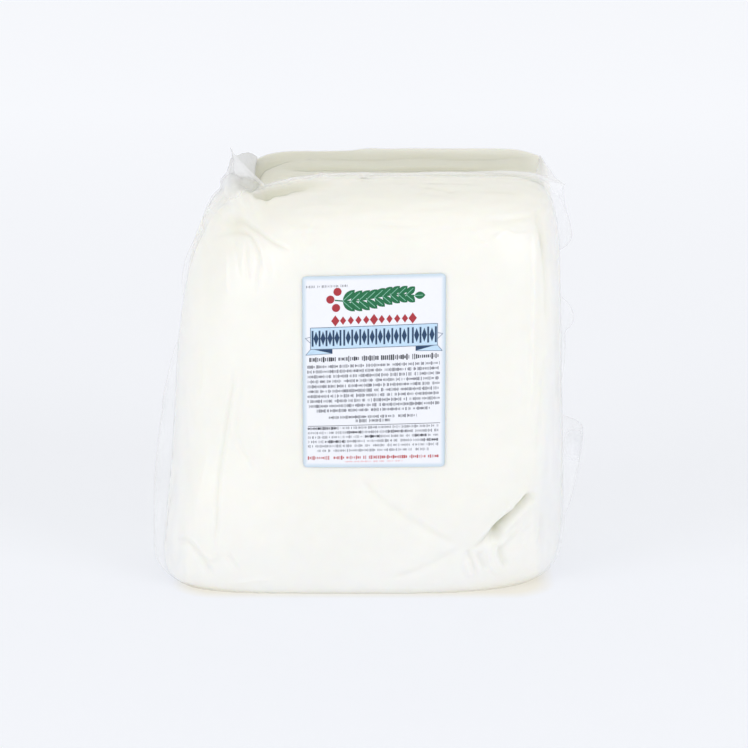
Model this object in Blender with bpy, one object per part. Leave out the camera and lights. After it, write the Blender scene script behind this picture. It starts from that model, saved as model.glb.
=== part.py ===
"""A block of fresh mozzarella curd, vacuum packed in a clear bag, standing on its small end.

Metres, +Z up. The origin is the centre of the flat face that the pack stands on, the labelled
face looks along -Y, and the bag's seam runs round the pack in the plane Y = 0.

The pack is one closed solid: the curd with the film drawn tight on it, the thin seam fins at
its sides, the sealed end across its top and the loose corners of the bag. The label is a thin
sheet that lies on the film.
"""

import math

import bpy
import numpy as np
from mathutils import Vector
from mathutils.bvhtree import BVHTree

# ---- Driving dimensions of the curd block -----------------------------------------------------
HEIGHT = 0.2195            # up to the top face in the seam plane
HALF_DEPTH = 0.0750        # front face to the seam plane
LEFT_TOP = 0.1005          # half width on the left side, at the top
LEFT_FOOT = 0.1150         # and at the foot, where the curd has settled outwards
LEFT_FLARE = 1.8           # how fast the left side spreads towards the foot
RIGHT_TOP = 0.1070         # half width on the right side, at the top
RIGHT_FOOT = 0.1140        # and at the foot
BELLY = 0.035              # share of the depth that the faces lose towards the ends
FOOT_FLAT = 0.0016         # how much of the round foot is pressed flat by the weight
REAR_RISE = 0.0055         # the top face climbs this much from the seam to the back

# ---- How square the block is: exponents of its rounded sections -------------------------------
PLAN_LEFT = 3.0            # round left corners, seen from above
PLAN_RIGHT = 4.2           # squarer right corners
PLAN_REAR_LEFT = 6.0       # the back corners are squarer than the front ones
PLAN_REAR_RIGHT = 14.0
PLAN_LEFT_FOOT = 4.4       # the left corners spread where they meet the table
PLAN_RIGHT_FOOT = 3.0      # the lower right corner is pinched round
FOOT_EDGE = 12.0           # tight edge round the foot
FOOT_FRONT_EDGE = 24.0     # nearly sharp below the front face
FOOT_RIGHT_EDGE = 6.5      # softer below the pinched corner
TOP_EDGE = 10.0            # edge between the top and the sides
TOP_RIGHT_EDGE = 11.0
TOP_FRONT_EDGE = 5.5       # the front face rolls over gently into the top
TOP_REAR_EDGE = 20.0       # nearly square at the back
SLOPE_TOP_X = 0.0650       # the top left corner is sloped off from here on the top face
SLOPE_SIDE_Z = 0.1800      # to here on the left side

# ---- Seam fins and the sealed end -------------------------------------------------------------
FIN_THICKNESS = 0.0018     # both plies of film with the crinkles between them
FIN_ROOT = 0.05            # share of the half depth where the film leaves the curd
FIN_SWAY = 0.35            # how far the fins lean to and fro, as a share of their reach
FIN_SWAY_LENGTH = 0.050
FOOT_CLEAR = 0.012         # the fins run out over this height above the table
SEAL_HEIGHT = 0.0022       # the sealed end stands this proud of the top face
SEAM_SWING_LEFT = 0.66     # towards the foot the seam swings forward, as a share of the half depth
SEAM_SWING_RIGHT = 0.55
SEAM_SWING_FROM = -0.32    # it leaves the middle plane at this share of the half height
# Places round the seam are turns in degrees about the middle of the pack, seen from the
# front: 0 is straight down, 90 to the right, 180 up and 270 to the left.
SEAL_TURNS = (132.0, 218.0)
# Swells of the fins: turn of the crest, degrees covered before and after it, reach
FIN_SWELLS = (
    (52.0, (12.0, 12.0), 0.0018),
    (73.0, (19.5, 3.4), 0.0125),
    (98.0, (14.0, 17.0), 0.0035),
    (105.0, (4.5, 6.0), 0.0085),
    (125.5, (3.5, 9.0), 0.0080),
    (212.0, (4.5, 17.0), 0.0125),
    (236.0, (10.0, 12.0), 0.0040),
    (293.0, (33.0, 25.0), 0.0088),
)
# Where the film spans from the front face straight to the fin's edge, instead of clinging
SPAN_TURNS = (205.0, 236.0)
SPAN_DEPTH = 0.85          # it leaves the front face at this share of the half depth
# Loose corners of the bag: tip (x, y, z), turn of the root, degrees covered before and after
LOOSE_CORNERS = (
    ((-0.0740, 0.0060, 0.2340), 211.5, (3.5, 3.0)),
    ((0.1115, -0.0020, 0.2150), 134.0, (4.5, 5.0)),
)

# ---- Folds pressed into the front: start, end, bow, half width and depth ------------------------
# Points are (x, z) on the front face. A positive bow bends the line to the right of its run.
FRONT_FOLDS = (
    ((-0.073, 0.128), (-0.081, 0.026), 0.0010, 0.0035, 0.0016),   # left edge of the flat face
    ((-0.077, 0.212), (-0.046, 0.194), 0.0010, 0.0035, 0.0022),   # below the loose corner
    ((-0.107, 0.035), (-0.081, 0.026), 0.0010, 0.0040, 0.0022),   # across the lower left corner
    ((-0.074, 0.027), (-0.062, 0.012), 0.0000, 0.0040, 0.0012),
    ((0.054, 0.029), (0.013, 0.066), -0.0020, 0.0040, 0.0020),    # rays out of the pinched knot
    ((0.054, 0.028), (0.020, 0.012), 0.0010, 0.0045, 0.0020),
    ((0.095, 0.200), (0.097, 0.133), 0.0010, 0.0035, 0.0018),     # right edge of the flat face
    ((0.096, 0.133), (0.090, 0.058), 0.0015, 0.0035, 0.0018),
    ((0.073, 0.031), (0.080, 0.014), 0.0010, 0.0035, 0.0016),     # inside the pinched corner
    ((0.094, 0.070), (0.093, 0.018), -0.0020, 0.0035, 0.0018),
)
DIMPLE_AT = (-0.0705, 0.2130)          # hollow in the slack film of the top left corner
DIMPLE_RADIUS = 0.0085
DIMPLE_DEPTH = 0.0040
PINCH_START = (0.0885, 0.0590)         # upper end of the pinched fold, lower right corner
PINCH_END = (0.0560, 0.0285)           # knot that it runs into
PINCH_DEPTH = 0.0048
PINCH_LIP = 0.0026                     # width of its steep wall
PINCH_RUN = 0.0140                     # it fades out over this distance
TOP_CREASE_Y = 0.0270                  # fold across the top, behind the sealed end
TOP_CREASE_DEPTH = 0.0022
TOP_CREASE_WIDTH = 0.0050

# ---- Label ------------------------------------------------------------------------------------
LABEL_WIDTH = 0.0760
LABEL_HEIGHT = 0.1050
LABEL_CENTRE = (0.0058, 0.1266)        # x and z on the front face
LABEL_CORNER = 0.0022
LABEL_SKEW = (0.005, 0.024)            # its right end is higher: rise per run, foot and top
LABEL_THICKNESS = 0.0004
LABEL_GAP = 0.0003
LABEL_COLUMNS = 14
LABEL_ROWS = 16

# ---- Mesh density -----------------------------------------------------------------------------
CELLS_WIDE = 30
CELLS_HIGH = 32
CELLS_DEEP = 7             # on each side of the seam
EDGE_DENSITY = 0.72        # 0 spreads the cells evenly, 1 crowds them at the edges


def clear_scene():
    for item in list(bpy.data.objects):
        bpy.data.objects.remove(item, do_unlink=True)


def material(name, colour, roughness, transmission=0.0):
    mat = bpy.data.materials.new(name)
    mat.use_nodes = True
    shader = mat.node_tree.nodes["Principled BSDF"]
    shader.inputs["Base Color"].default_value = (*colour, 1.0)
    shader.inputs["Roughness"].default_value = roughness
    shader.inputs["Metallic"].default_value = 0.0
    shader.inputs["Transmission Weight"].default_value = transmission
    mat.diffuse_color = (*colour, 1.0)
    return mat


def ramp(low, high, value):
    """Smooth step from 0 at low to 1 at high."""
    share = np.clip((value - low) / (high - low), 0.0, 1.0)
    return share * share * (3.0 - 2.0 * share)


def spaced(count, density):
    """count + 1 values from -1 to 1, crowded towards both ends."""
    even = np.linspace(-1.0, 1.0, count + 1)
    crowded = np.sin(even * math.pi / 2.0)
    return even + density * (crowded - even)


def depth_lines():
    """Cell lines through the depth, with a close pair on each side of the seam."""
    outer = spaced(2 * CELLS_DEEP, EDGE_DENSITY)[:CELLS_DEEP + 1]
    outer = outer * (1.0 - FIN_ROOT) - FIN_ROOT
    tip = FIN_THICKNESS / 2.0 / HALF_DEPTH
    return np.concatenate([outer, [-tip, tip], -outer[::-1]])


def box_lattice(lines):
    """Corner numbers (n, 3) and outward quads on the surface of a box lattice."""
    counts = [len(line) - 1 for line in lines]
    number = {}
    quads = []

    def corner(*cell):
        return number.setdefault(cell, len(number))

    for axis in range(3):
        first, second = (axis + 1) % 3, (axis + 2) % 3
        for side in (0, counts[axis]):
            for a in range(counts[first]):
                for b in range(counts[second]):
                    ring = []
                    for da, db in ((0, 0), (1, 0), (1, 1), (0, 1)):
                        cell = [0, 0, 0]
                        cell[axis] = side
                        cell[first] = a + da
                        cell[second] = b + db
                        ring.append(corner(*cell))
                    quads.append(ring if side else ring[::-1])
    return np.array(list(number)), quads


def half_width(side, height):
    """Half width of the block at a height, left of the middle (side < 0) or right of it."""
    share = np.clip(1.0 - height / HEIGHT, 0.0, 1.0)
    left = LEFT_TOP + (LEFT_FOOT - LEFT_TOP) * share ** LEFT_FLARE
    right = RIGHT_TOP + (RIGHT_FOOT - RIGHT_TOP) * share
    return np.where(side < 0.0, left, right)


def slope_share(u, w):
    """1 on the plane that slopes off the top left corner, less inside it, none below it."""
    top_u = SLOPE_TOP_X / LEFT_TOP
    side_w = 2.0 * SLOPE_SIDE_Z / HEIGHT - 1.0
    across = (1.0 - side_w) / (1.0 - top_u * side_w)
    upward = 1.0 - top_u * across
    return np.maximum(upward * w - across * u, 0.0) * ramp(-0.2, 0.3, w)


def block_points(u, v, w):
    """Points of the block for lattice coordinates between -1 and 1: a rounded box whose
    plan, foot and top corners each have their own squareness."""
    rightness = ramp(-0.6, 0.6, u)
    low = ramp(-0.3, -0.9, w)
    rear = ramp(-0.4, 0.6, v)
    left_plan = PLAN_LEFT + (PLAN_REAR_LEFT - PLAN_LEFT) * rear
    left_plan = left_plan + (PLAN_LEFT_FOOT - left_plan) * low
    right_plan = PLAN_RIGHT + (PLAN_REAR_RIGHT - PLAN_RIGHT) * rear
    right_plan = right_plan + (PLAN_RIGHT_FOOT - right_plan) * low
    plan = left_plan + (right_plan - left_plan) * rightness
    around = (np.abs(u) ** plan + np.abs(v) ** plan) ** (1.0 / plan)
    away = np.maximum(np.hypot(u, v), 1e-9)
    rightwards = ramp(0.10, 0.90, u / away)
    frontwards = ramp(0.10, 0.90, -v / away)
    rearwards = ramp(0.10, 0.90, v / away)
    top = TOP_EDGE + (TOP_RIGHT_EDGE - TOP_EDGE) * rightwards
    top = top + (TOP_FRONT_EDGE - top) * frontwards + (TOP_REAR_EDGE - top) * rearwards
    foot = FOOT_EDGE + (FOOT_RIGHT_EDGE - FOOT_EDGE) * rightwards
    foot = foot + (FOOT_FRONT_EDGE - foot) * frontwards
    edge = np.where(w > 0.0, top, foot)
    slope = slope_share(u, w) ** edge
    shrink = (around ** edge + np.abs(w) ** edge + slope) ** (-1.0 / edge)
    tall = HEIGHT + FOOT_FLAT
    z = np.maximum(tall * (1.0 + w * shrink) / 2.0 - FOOT_FLAT, 0.0)
    x = u * shrink * half_width(u, z)
    y = v * shrink * HALF_DEPTH * (1.0 - BELLY * (2.0 * z / HEIGHT - 1.0) ** 2)
    z = z + REAR_RISE * ramp(0.0, HALF_DEPTH, y) * ramp(0.6, 1.0, z / HEIGHT)
    return np.stack([x, y, z], axis=1)


def swung(u, v, w, seam):
    """Depth coordinates with the seam (v = 0) swung forward at the lower corners. The block
    keeps its form: only the place of the seam on it changes."""
    low = np.clip((SEAM_SWING_FROM - w) / (1.0 + SEAM_SWING_FROM), 0.0, 1.0) ** 1.5
    most = np.where(u < 0.0, SEAM_SWING_LEFT, SEAM_SWING_RIGHT)
    swing = most * low * ramp(0.2, 0.9, np.abs(u))
    return np.where(seam, v - swing, (v - swing) / (1.0 - swing * v))


def fold_depth(x, z, fold):
    """Depth of one pressed fold: a groove along a bowed line that fades at its ends."""
    (x0, z0), (x1, z1), bow, width, depth = fold
    run = math.hypot(x1 - x0, z1 - z0)
    ax, az = (x1 - x0) / run, (z1 - z0) / run
    along = ((x - x0) * ax + (z - z0) * az) / run
    across = (x - x0) * az - (z - z0) * ax
    inside = np.clip(along, 0.0, 1.0)
    off_line = across - 4.0 * bow * inside * (1.0 - inside)
    off_end = (along - inside) * run
    distance2 = off_line ** 2 + off_end ** 2
    return depth * np.exp(-distance2 / width ** 2)


def pinch_depth(x, z):
    """The corner that is pushed in below the pinched fold at the lower right."""
    (x0, z0), (x1, z1) = PINCH_START, PINCH_END
    run = math.hypot(x1 - x0, z1 - z0)
    ax, az = (x1 - x0) / run, (z1 - z0) / run
    along = ((x - x0) * ax + (z - z0) * az) / run
    below = -((x - x0) * az - (z - z0) * ax)
    wall = ramp(-0.3 * PINCH_LIP, PINCH_LIP, below)
    fade = np.exp(-(np.maximum(below, 0.0) / PINCH_RUN) ** 2)
    ends = ramp(-0.10, 0.25, along) * (1.0 - ramp(0.75, 1.10, along))
    return PINCH_DEPTH * wall * fade * ends


def relief(points, normals):
    """How far each point is pressed in along its normal by folds and dents."""
    x, y, z = points.T
    front = ramp(0.35, 0.85, -normals[:, 1])
    pressed = np.zeros(len(points))
    for fold in FRONT_FOLDS:
        pressed = pressed + fold_depth(x, z, fold)
    pressed = pressed + pinch_depth(x, z)
    off_dimple = (x - DIMPLE_AT[0]) ** 2 + (z - DIMPLE_AT[1]) ** 2
    pressed = pressed + DIMPLE_DEPTH * np.exp(-off_dimple / DIMPLE_RADIUS ** 2)
    top = ramp(0.6, 0.95, normals[:, 2])
    crease = TOP_CREASE_DEPTH * np.exp(-((y - TOP_CREASE_Y) / TOP_CREASE_WIDTH) ** 2)
    return front * pressed + top * crease * ramp(-LEFT_TOP, -0.5 * LEFT_TOP, x)


def seam_turn(points):
    """Turn of each point about the middle of the pack, in degrees."""
    return np.degrees(np.arctan2(points[:, 0], HEIGHT / 2.0 - points[:, 2])) % 360.0


def hump(off, spans):
    """1 at off = 0, falling to 0 at the two spans."""
    before, after = spans
    share = off / np.where(off < 0.0, before, after)
    return np.clip(1.0 - share ** 2, 0.0, 1.0)


def fin_step(points, normals):
    """How far the edge of the fin stands off each point, as a vector."""
    turn = seam_turn(points)
    seal_start, seal_end = SEAL_TURNS
    reach = SEAL_HEIGHT * ramp(seal_start, seal_start + 8.0, turn)
    reach = reach * ramp(seal_end, seal_end - 8.0, turn)
    for crest, spans, most in FIN_SWELLS:
        reach = np.maximum(reach, most * hump(turn - crest, spans) ** 0.8)
    reach = reach * ramp(0.0, FOOT_CLEAR, points[:, 2])
    outward = normals * (1.0, 0.0, 1.0)
    outward = outward / np.maximum(np.linalg.norm(outward, axis=1), 1e-9)[:, None]
    return outward * reach[:, None], reach


def fin_points(points, normals):
    """Seam points moved out to the edge of the fins, the sealed end and the loose corners."""
    x, _, z = points.T
    step, reach = fin_step(points, normals)
    moved = points + step
    moved[:, 1] += FIN_SWAY * reach * np.sin((x + z) * 2.0 * math.pi / FIN_SWAY_LENGTH)
    for tip, middle, spans in LOOSE_CORNERS:
        off = seam_turn(points) - middle
        share = np.clip(1.0 - np.abs(off) / np.where(off < 0.0, *spans), 0.0, 1.0)
        pull = np.array(tip) + points * (0.0, 1.0, 0.0) - moved
        moved = moved + pull * share[:, None]
    return moved


def spanning(points, normals, v):
    """Points that the film lifts off where it spans from the front face to a fin's edge."""
    start, end = SPAN_TURNS
    turn = seam_turn(points)
    lifted = np.clip(1.0 + v / SPAN_DEPTH, 0.0, 1.0) ** 1.4 * (v < 0.0)
    lifted = lifted * ramp(start, start + 6.0, turn) * ramp(end, end - 8.0, turn)
    side = ramp(0.1, 0.5, np.hypot(normals[:, 0], np.maximum(normals[:, 2], 0.0)))
    return points + fin_step(points, normals)[0] * (lifted * side)[:, None]


def mesh_object(name, points, faces, mat):
    mesh = bpy.data.meshes.new(name)
    mesh.from_pydata([tuple(point) for point in points], [], faces)
    mesh.materials.append(mat)
    mesh.shade_smooth()
    item = bpy.data.objects.new(name, mesh)
    bpy.context.collection.objects.link(item)
    return item


def vertex_normals(points, faces):
    mesh = bpy.data.meshes.new("scratch")
    mesh.from_pydata([tuple(point) for point in points], [], faces)
    normals = np.array([tuple(vertex.normal) for vertex in mesh.vertices])
    bpy.data.meshes.remove(mesh)
    return normals


def sealed_bag():
    """Curd and film as one solid: the block, its folds, then the fins in the seam plane."""
    lines = (spaced(CELLS_WIDE, EDGE_DENSITY), depth_lines(), spaced(CELLS_HIGH, EDGE_DENSITY))
    cells, quads = box_lattice(lines)
    u, v, w = (line[cells[:, axis]] for axis, line in enumerate(lines))
    seam = np.abs(v) < FIN_ROOT / 2.0
    points = block_points(u, swung(u, v, w, seam), w)
    normals = vertex_normals(points, quads)
    standing = points[:, 2] > 0.0
    points = points - normals * (relief(points, normals) * standing)[:, None]

    points[~seam] = spanning(points, normals, v)[~seam]
    points[seam] = fin_points(points[seam], normals[seam])
    points[:, 2] = np.maximum(points[:, 2], 0.0)
    film = material("clear_film_over_curd", (0.90, 0.89, 0.80), 0.22)
    return mesh_object("sealed_bag", points, quads, film)


def label(bag):
    """A thin sheet with round corners, laid on the front of the bag."""
    tree = BVHTree.FromObject(bag, bpy.context.evaluated_depsgraph_get())
    half_wide, half_high = LABEL_WIDTH / 2.0, LABEL_HEIGHT / 2.0
    arc = [half_high - LABEL_CORNER * (1.0 - math.sin(math.radians(turn))) for turn in (90, 60, 30)]
    flat = half_high - LABEL_CORNER
    rises = [-rise for rise in arc] + list(np.linspace(-flat, flat, LABEL_ROWS - 5)) + arc[::-1]
    points = {}
    skew_foot, skew_top = LABEL_SKEW
    for row, rise in enumerate(rises):
        skew = skew_foot + (skew_top - skew_foot) * (0.5 + rise / LABEL_HEIGHT)
        past = min(max(0.0, abs(rise) - flat), LABEL_CORNER)
        half = half_wide - LABEL_CORNER + math.sqrt(LABEL_CORNER ** 2 - past ** 2)
        for column, run in enumerate(np.linspace(-half, half, LABEL_COLUMNS + 1)):
            x, z = LABEL_CENTRE[0] + run, LABEL_CENTRE[1] + rise + skew * run
            film = tree.ray_cast(Vector((x, -1.0, z)), Vector((0.0, 1.0, 0.0)))[0]
            points[row, column, 0] = (x, film.y - LABEL_GAP, z)
            points[row, column, 1] = (x, film.y - LABEL_GAP - LABEL_THICKNESS, z)
    number = {key: index for index, key in enumerate(points)}
    last_row, last_column = len(rises) - 1, LABEL_COLUMNS
    faces = []
    for row in range(last_row):
        for column in range(last_column):
            ring = [(row, column), (row, column + 1), (row + 1, column + 1), (row + 1, column)]
            faces.append([number[r, c, 1] for r, c in ring])
            faces.append([number[r, c, 0] for r, c in ring[::-1]])
    rim = [(0, column) for column in range(last_column)]
    rim += [(row, last_column) for row in range(last_row)]
    rim += [(last_row, column) for column in range(last_column, 0, -1)]
    rim += [(row, 0) for row in range(last_row, 0, -1)]
    for here, after in zip(rim, rim[1:] + rim[:1]):
        faces.append([number[(*here, 0)], number[(*after, 0)], number[(*after, 1)],
                      number[(*here, 1)]])
    paper = material("label_paper", (0.86, 0.90, 0.94), 0.35)
    return mesh_object("label", list(points.values()), faces, paper)


def main():
    clear_scene()
    bag = sealed_bag()
    label(bag)


main()
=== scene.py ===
# %% [markdown]
# # A block of mozzarella curd in its vacuum bag
# The real thing is a soft block of fresh cheese, as wide as a dinner plate, sealed in a clear
# bag. The air was drawn out, so the film clings to the curd and takes every fold that the block
# has, and it stands off only along its seams and at the corners of the bag. A sheet label is
# stuck on the front.
#
# Each piece is made here as what it is: the curd as one solid, the film as a thin shell round
# it, the label as a sheet of paper, and the print as thin layers of ink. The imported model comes
# first, because every size below is taken from it or agrees with it.

import math

import bmesh
import bpy
import numpy as np
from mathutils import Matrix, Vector, noise
from mathutils.bvhtree import BVHTree


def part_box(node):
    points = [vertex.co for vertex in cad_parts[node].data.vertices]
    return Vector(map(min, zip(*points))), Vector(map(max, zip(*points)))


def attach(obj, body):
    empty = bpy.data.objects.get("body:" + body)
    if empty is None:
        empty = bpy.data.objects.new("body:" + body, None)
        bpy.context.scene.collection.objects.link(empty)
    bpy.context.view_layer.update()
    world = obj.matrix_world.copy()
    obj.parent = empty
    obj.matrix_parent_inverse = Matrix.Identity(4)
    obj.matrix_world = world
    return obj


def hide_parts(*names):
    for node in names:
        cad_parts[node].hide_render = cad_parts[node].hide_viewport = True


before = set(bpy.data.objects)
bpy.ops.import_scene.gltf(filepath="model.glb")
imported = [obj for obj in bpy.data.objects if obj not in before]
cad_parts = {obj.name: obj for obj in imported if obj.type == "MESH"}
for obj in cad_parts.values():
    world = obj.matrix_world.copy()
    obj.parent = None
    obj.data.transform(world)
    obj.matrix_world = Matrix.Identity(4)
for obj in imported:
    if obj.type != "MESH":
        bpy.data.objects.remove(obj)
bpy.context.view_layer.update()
bag_low, bag_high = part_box("sealed_bag")
label_low, label_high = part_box("label")
MM = 0.001
print("bag, mm:", [round((high - low) / MM, 1) for low, high in zip(bag_low, bag_high)])

# %% [markdown]
# ## The form of the block
# Curd packed under vacuum settles into a rounded box that is a little wider at its foot. A
# superellipse gives such a section: a circle has the exponent 2, and a larger exponent is
# squarer. Each corner of this block is squared by its own exponent, so one formula turns the
# points of a plain box into the whole block, and a finer box gives a finer block of the same
# form.

# %% Sizes of the block
HEIGHT = 219.5 * MM              # up to the top face in the seam plane
HALF_DEPTH = bag_high.y          # front face to the seam plane
LEFT_TOP, LEFT_FOOT = 100.5 * MM, 115.0 * MM      # half widths, at the top and at the foot
RIGHT_TOP, RIGHT_FOOT = 107.0 * MM, 114.0 * MM
LEFT_FLARE = 1.8                 # how fast the left side spreads towards the foot
BELLY = 0.035                    # share of the depth that the faces lose towards the ends
FOOT_FLAT = 1.6 * MM             # how much of the round foot is pressed flat
REAR_RISE = 5.5 * MM             # the top face climbs this much from the seam to the back
PLAN_LEFT, PLAN_RIGHT = 3.0, 4.2             # squareness of the corners seen from above
PLAN_REAR_LEFT, PLAN_REAR_RIGHT = 6.0, 14.0
PLAN_LEFT_FOOT, PLAN_RIGHT_FOOT = 4.4, 3.0
FOOT_EDGE, FOOT_FRONT_EDGE, FOOT_RIGHT_EDGE = 12.0, 24.0, 6.5    # and of its edges
TOP_EDGE, TOP_RIGHT_EDGE, TOP_FRONT_EDGE, TOP_REAR_EDGE = 10.0, 11.0, 5.5, 20.0
SLOPE_TOP_X, SLOPE_SIDE_Z = 65.0 * MM, 180.0 * MM    # the top left corner is sloped off


# %% A rounded box from a plain one
def ramp(low, high, value):
    """Smooth step from 0 at low to 1 at high."""
    share = np.clip((value - low) / (high - low), 0.0, 1.0)
    return share * share * (3.0 - 2.0 * share)


def blend(first, second, share):
    return first + (second - first) * share


def half_width(side, height):
    """Half width of the block at a height, left of the middle (side < 0) or right of it."""
    share = np.clip(1.0 - height / HEIGHT, 0.0, 1.0)
    left = blend(LEFT_TOP, LEFT_FOOT, share ** LEFT_FLARE)
    return np.where(side < 0.0, left, blend(RIGHT_TOP, RIGHT_FOOT, share))


def slope_share(u, w):
    """1 on the plane that slopes off the top left corner, less inside it, none below it."""
    top_u = SLOPE_TOP_X / LEFT_TOP
    side_w = 2.0 * SLOPE_SIDE_Z / HEIGHT - 1.0
    across = (1.0 - side_w) / (1.0 - top_u * side_w)
    upward = 1.0 - top_u * across
    return np.maximum(upward * w - across * u, 0.0) * ramp(-0.2, 0.3, w)


def block_points(u, v, w):
    """Points of the block for box coordinates between -1 and 1."""
    low, rear = ramp(-0.3, -0.9, w), ramp(-0.4, 0.6, v)
    left_plan = blend(blend(PLAN_LEFT, PLAN_REAR_LEFT, rear), PLAN_LEFT_FOOT, low)
    right_plan = blend(blend(PLAN_RIGHT, PLAN_REAR_RIGHT, rear), PLAN_RIGHT_FOOT, low)
    plan = blend(left_plan, right_plan, ramp(-0.6, 0.6, u))
    around = (np.abs(u) ** plan + np.abs(v) ** plan) ** (1.0 / plan)
    away = np.maximum(np.hypot(u, v), 1e-9)
    rightwards, frontwards, rearwards = (ramp(0.10, 0.90, way / away) for way in (u, -v, v))
    top = blend(TOP_EDGE, TOP_RIGHT_EDGE, rightwards)
    top = blend(blend(top, TOP_FRONT_EDGE, frontwards), TOP_REAR_EDGE, rearwards)
    foot = blend(blend(FOOT_EDGE, FOOT_RIGHT_EDGE, rightwards), FOOT_FRONT_EDGE, frontwards)
    edge = np.where(w > 0.0, top, foot)
    slope = slope_share(u, w) ** edge
    shrink = (around ** edge + np.abs(w) ** edge + slope) ** (-1.0 / edge)
    tall = HEIGHT + FOOT_FLAT
    z = np.maximum(tall * (1.0 + w * shrink) / 2.0 - FOOT_FLAT, 0.0)
    x = u * shrink * half_width(u, z)
    y = v * shrink * HALF_DEPTH * (1.0 - BELLY * (2.0 * z / HEIGHT - 1.0) ** 2)
    z = z + REAR_RISE * ramp(0.0, HALF_DEPTH, y) * ramp(0.6, 1.0, z / HEIGHT)
    return np.stack([x, y, z], axis=1)


# %% The box that is rounded
EDGE_DENSITY = 0.40              # 0 spreads the cells evenly, 1 crowds them at the edges


def spaced(count, density=EDGE_DENSITY):
    """count + 1 values from -1 to 1, crowded towards both ends."""
    even = np.linspace(-1.0, 1.0, count + 1)
    return blend(even, np.sin(even * math.pi / 2.0), density)


def box_surface(lines):
    """Corner numbers (n, 3) and outward quads on the surface of a box of cells."""
    counts = [len(line) - 1 for line in lines]
    number = {}
    quads = []
    for axis in range(3):
        first, second = (axis + 1) % 3, (axis + 2) % 3
        for side in (0, counts[axis]):
            for a in range(counts[first]):
                for b in range(counts[second]):
                    ring = []
                    for da, db in ((0, 0), (1, 0), (1, 1), (0, 1)):
                        cell = [0, 0, 0]
                        cell[axis] = side
                        cell[first] = a + da
                        cell[second] = b + db
                        ring.append(number.setdefault(tuple(cell), len(number)))
                    quads.append(ring if side else ring[::-1])
    return np.array(list(number)), quads


def new_mesh(name, points, faces, edges=()):
    mesh = bpy.data.meshes.new(name)
    mesh.from_pydata([tuple(point) for point in points], edges, faces)
    return mesh


def vertex_normals(points, faces):
    mesh = new_mesh("scratch", points, faces)
    normals = np.zeros(len(points) * 3, np.float32)
    mesh.vertices.foreach_get("normal", normals)
    bpy.data.meshes.remove(mesh)
    return normals.reshape(-1, 3).astype(float)
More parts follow.
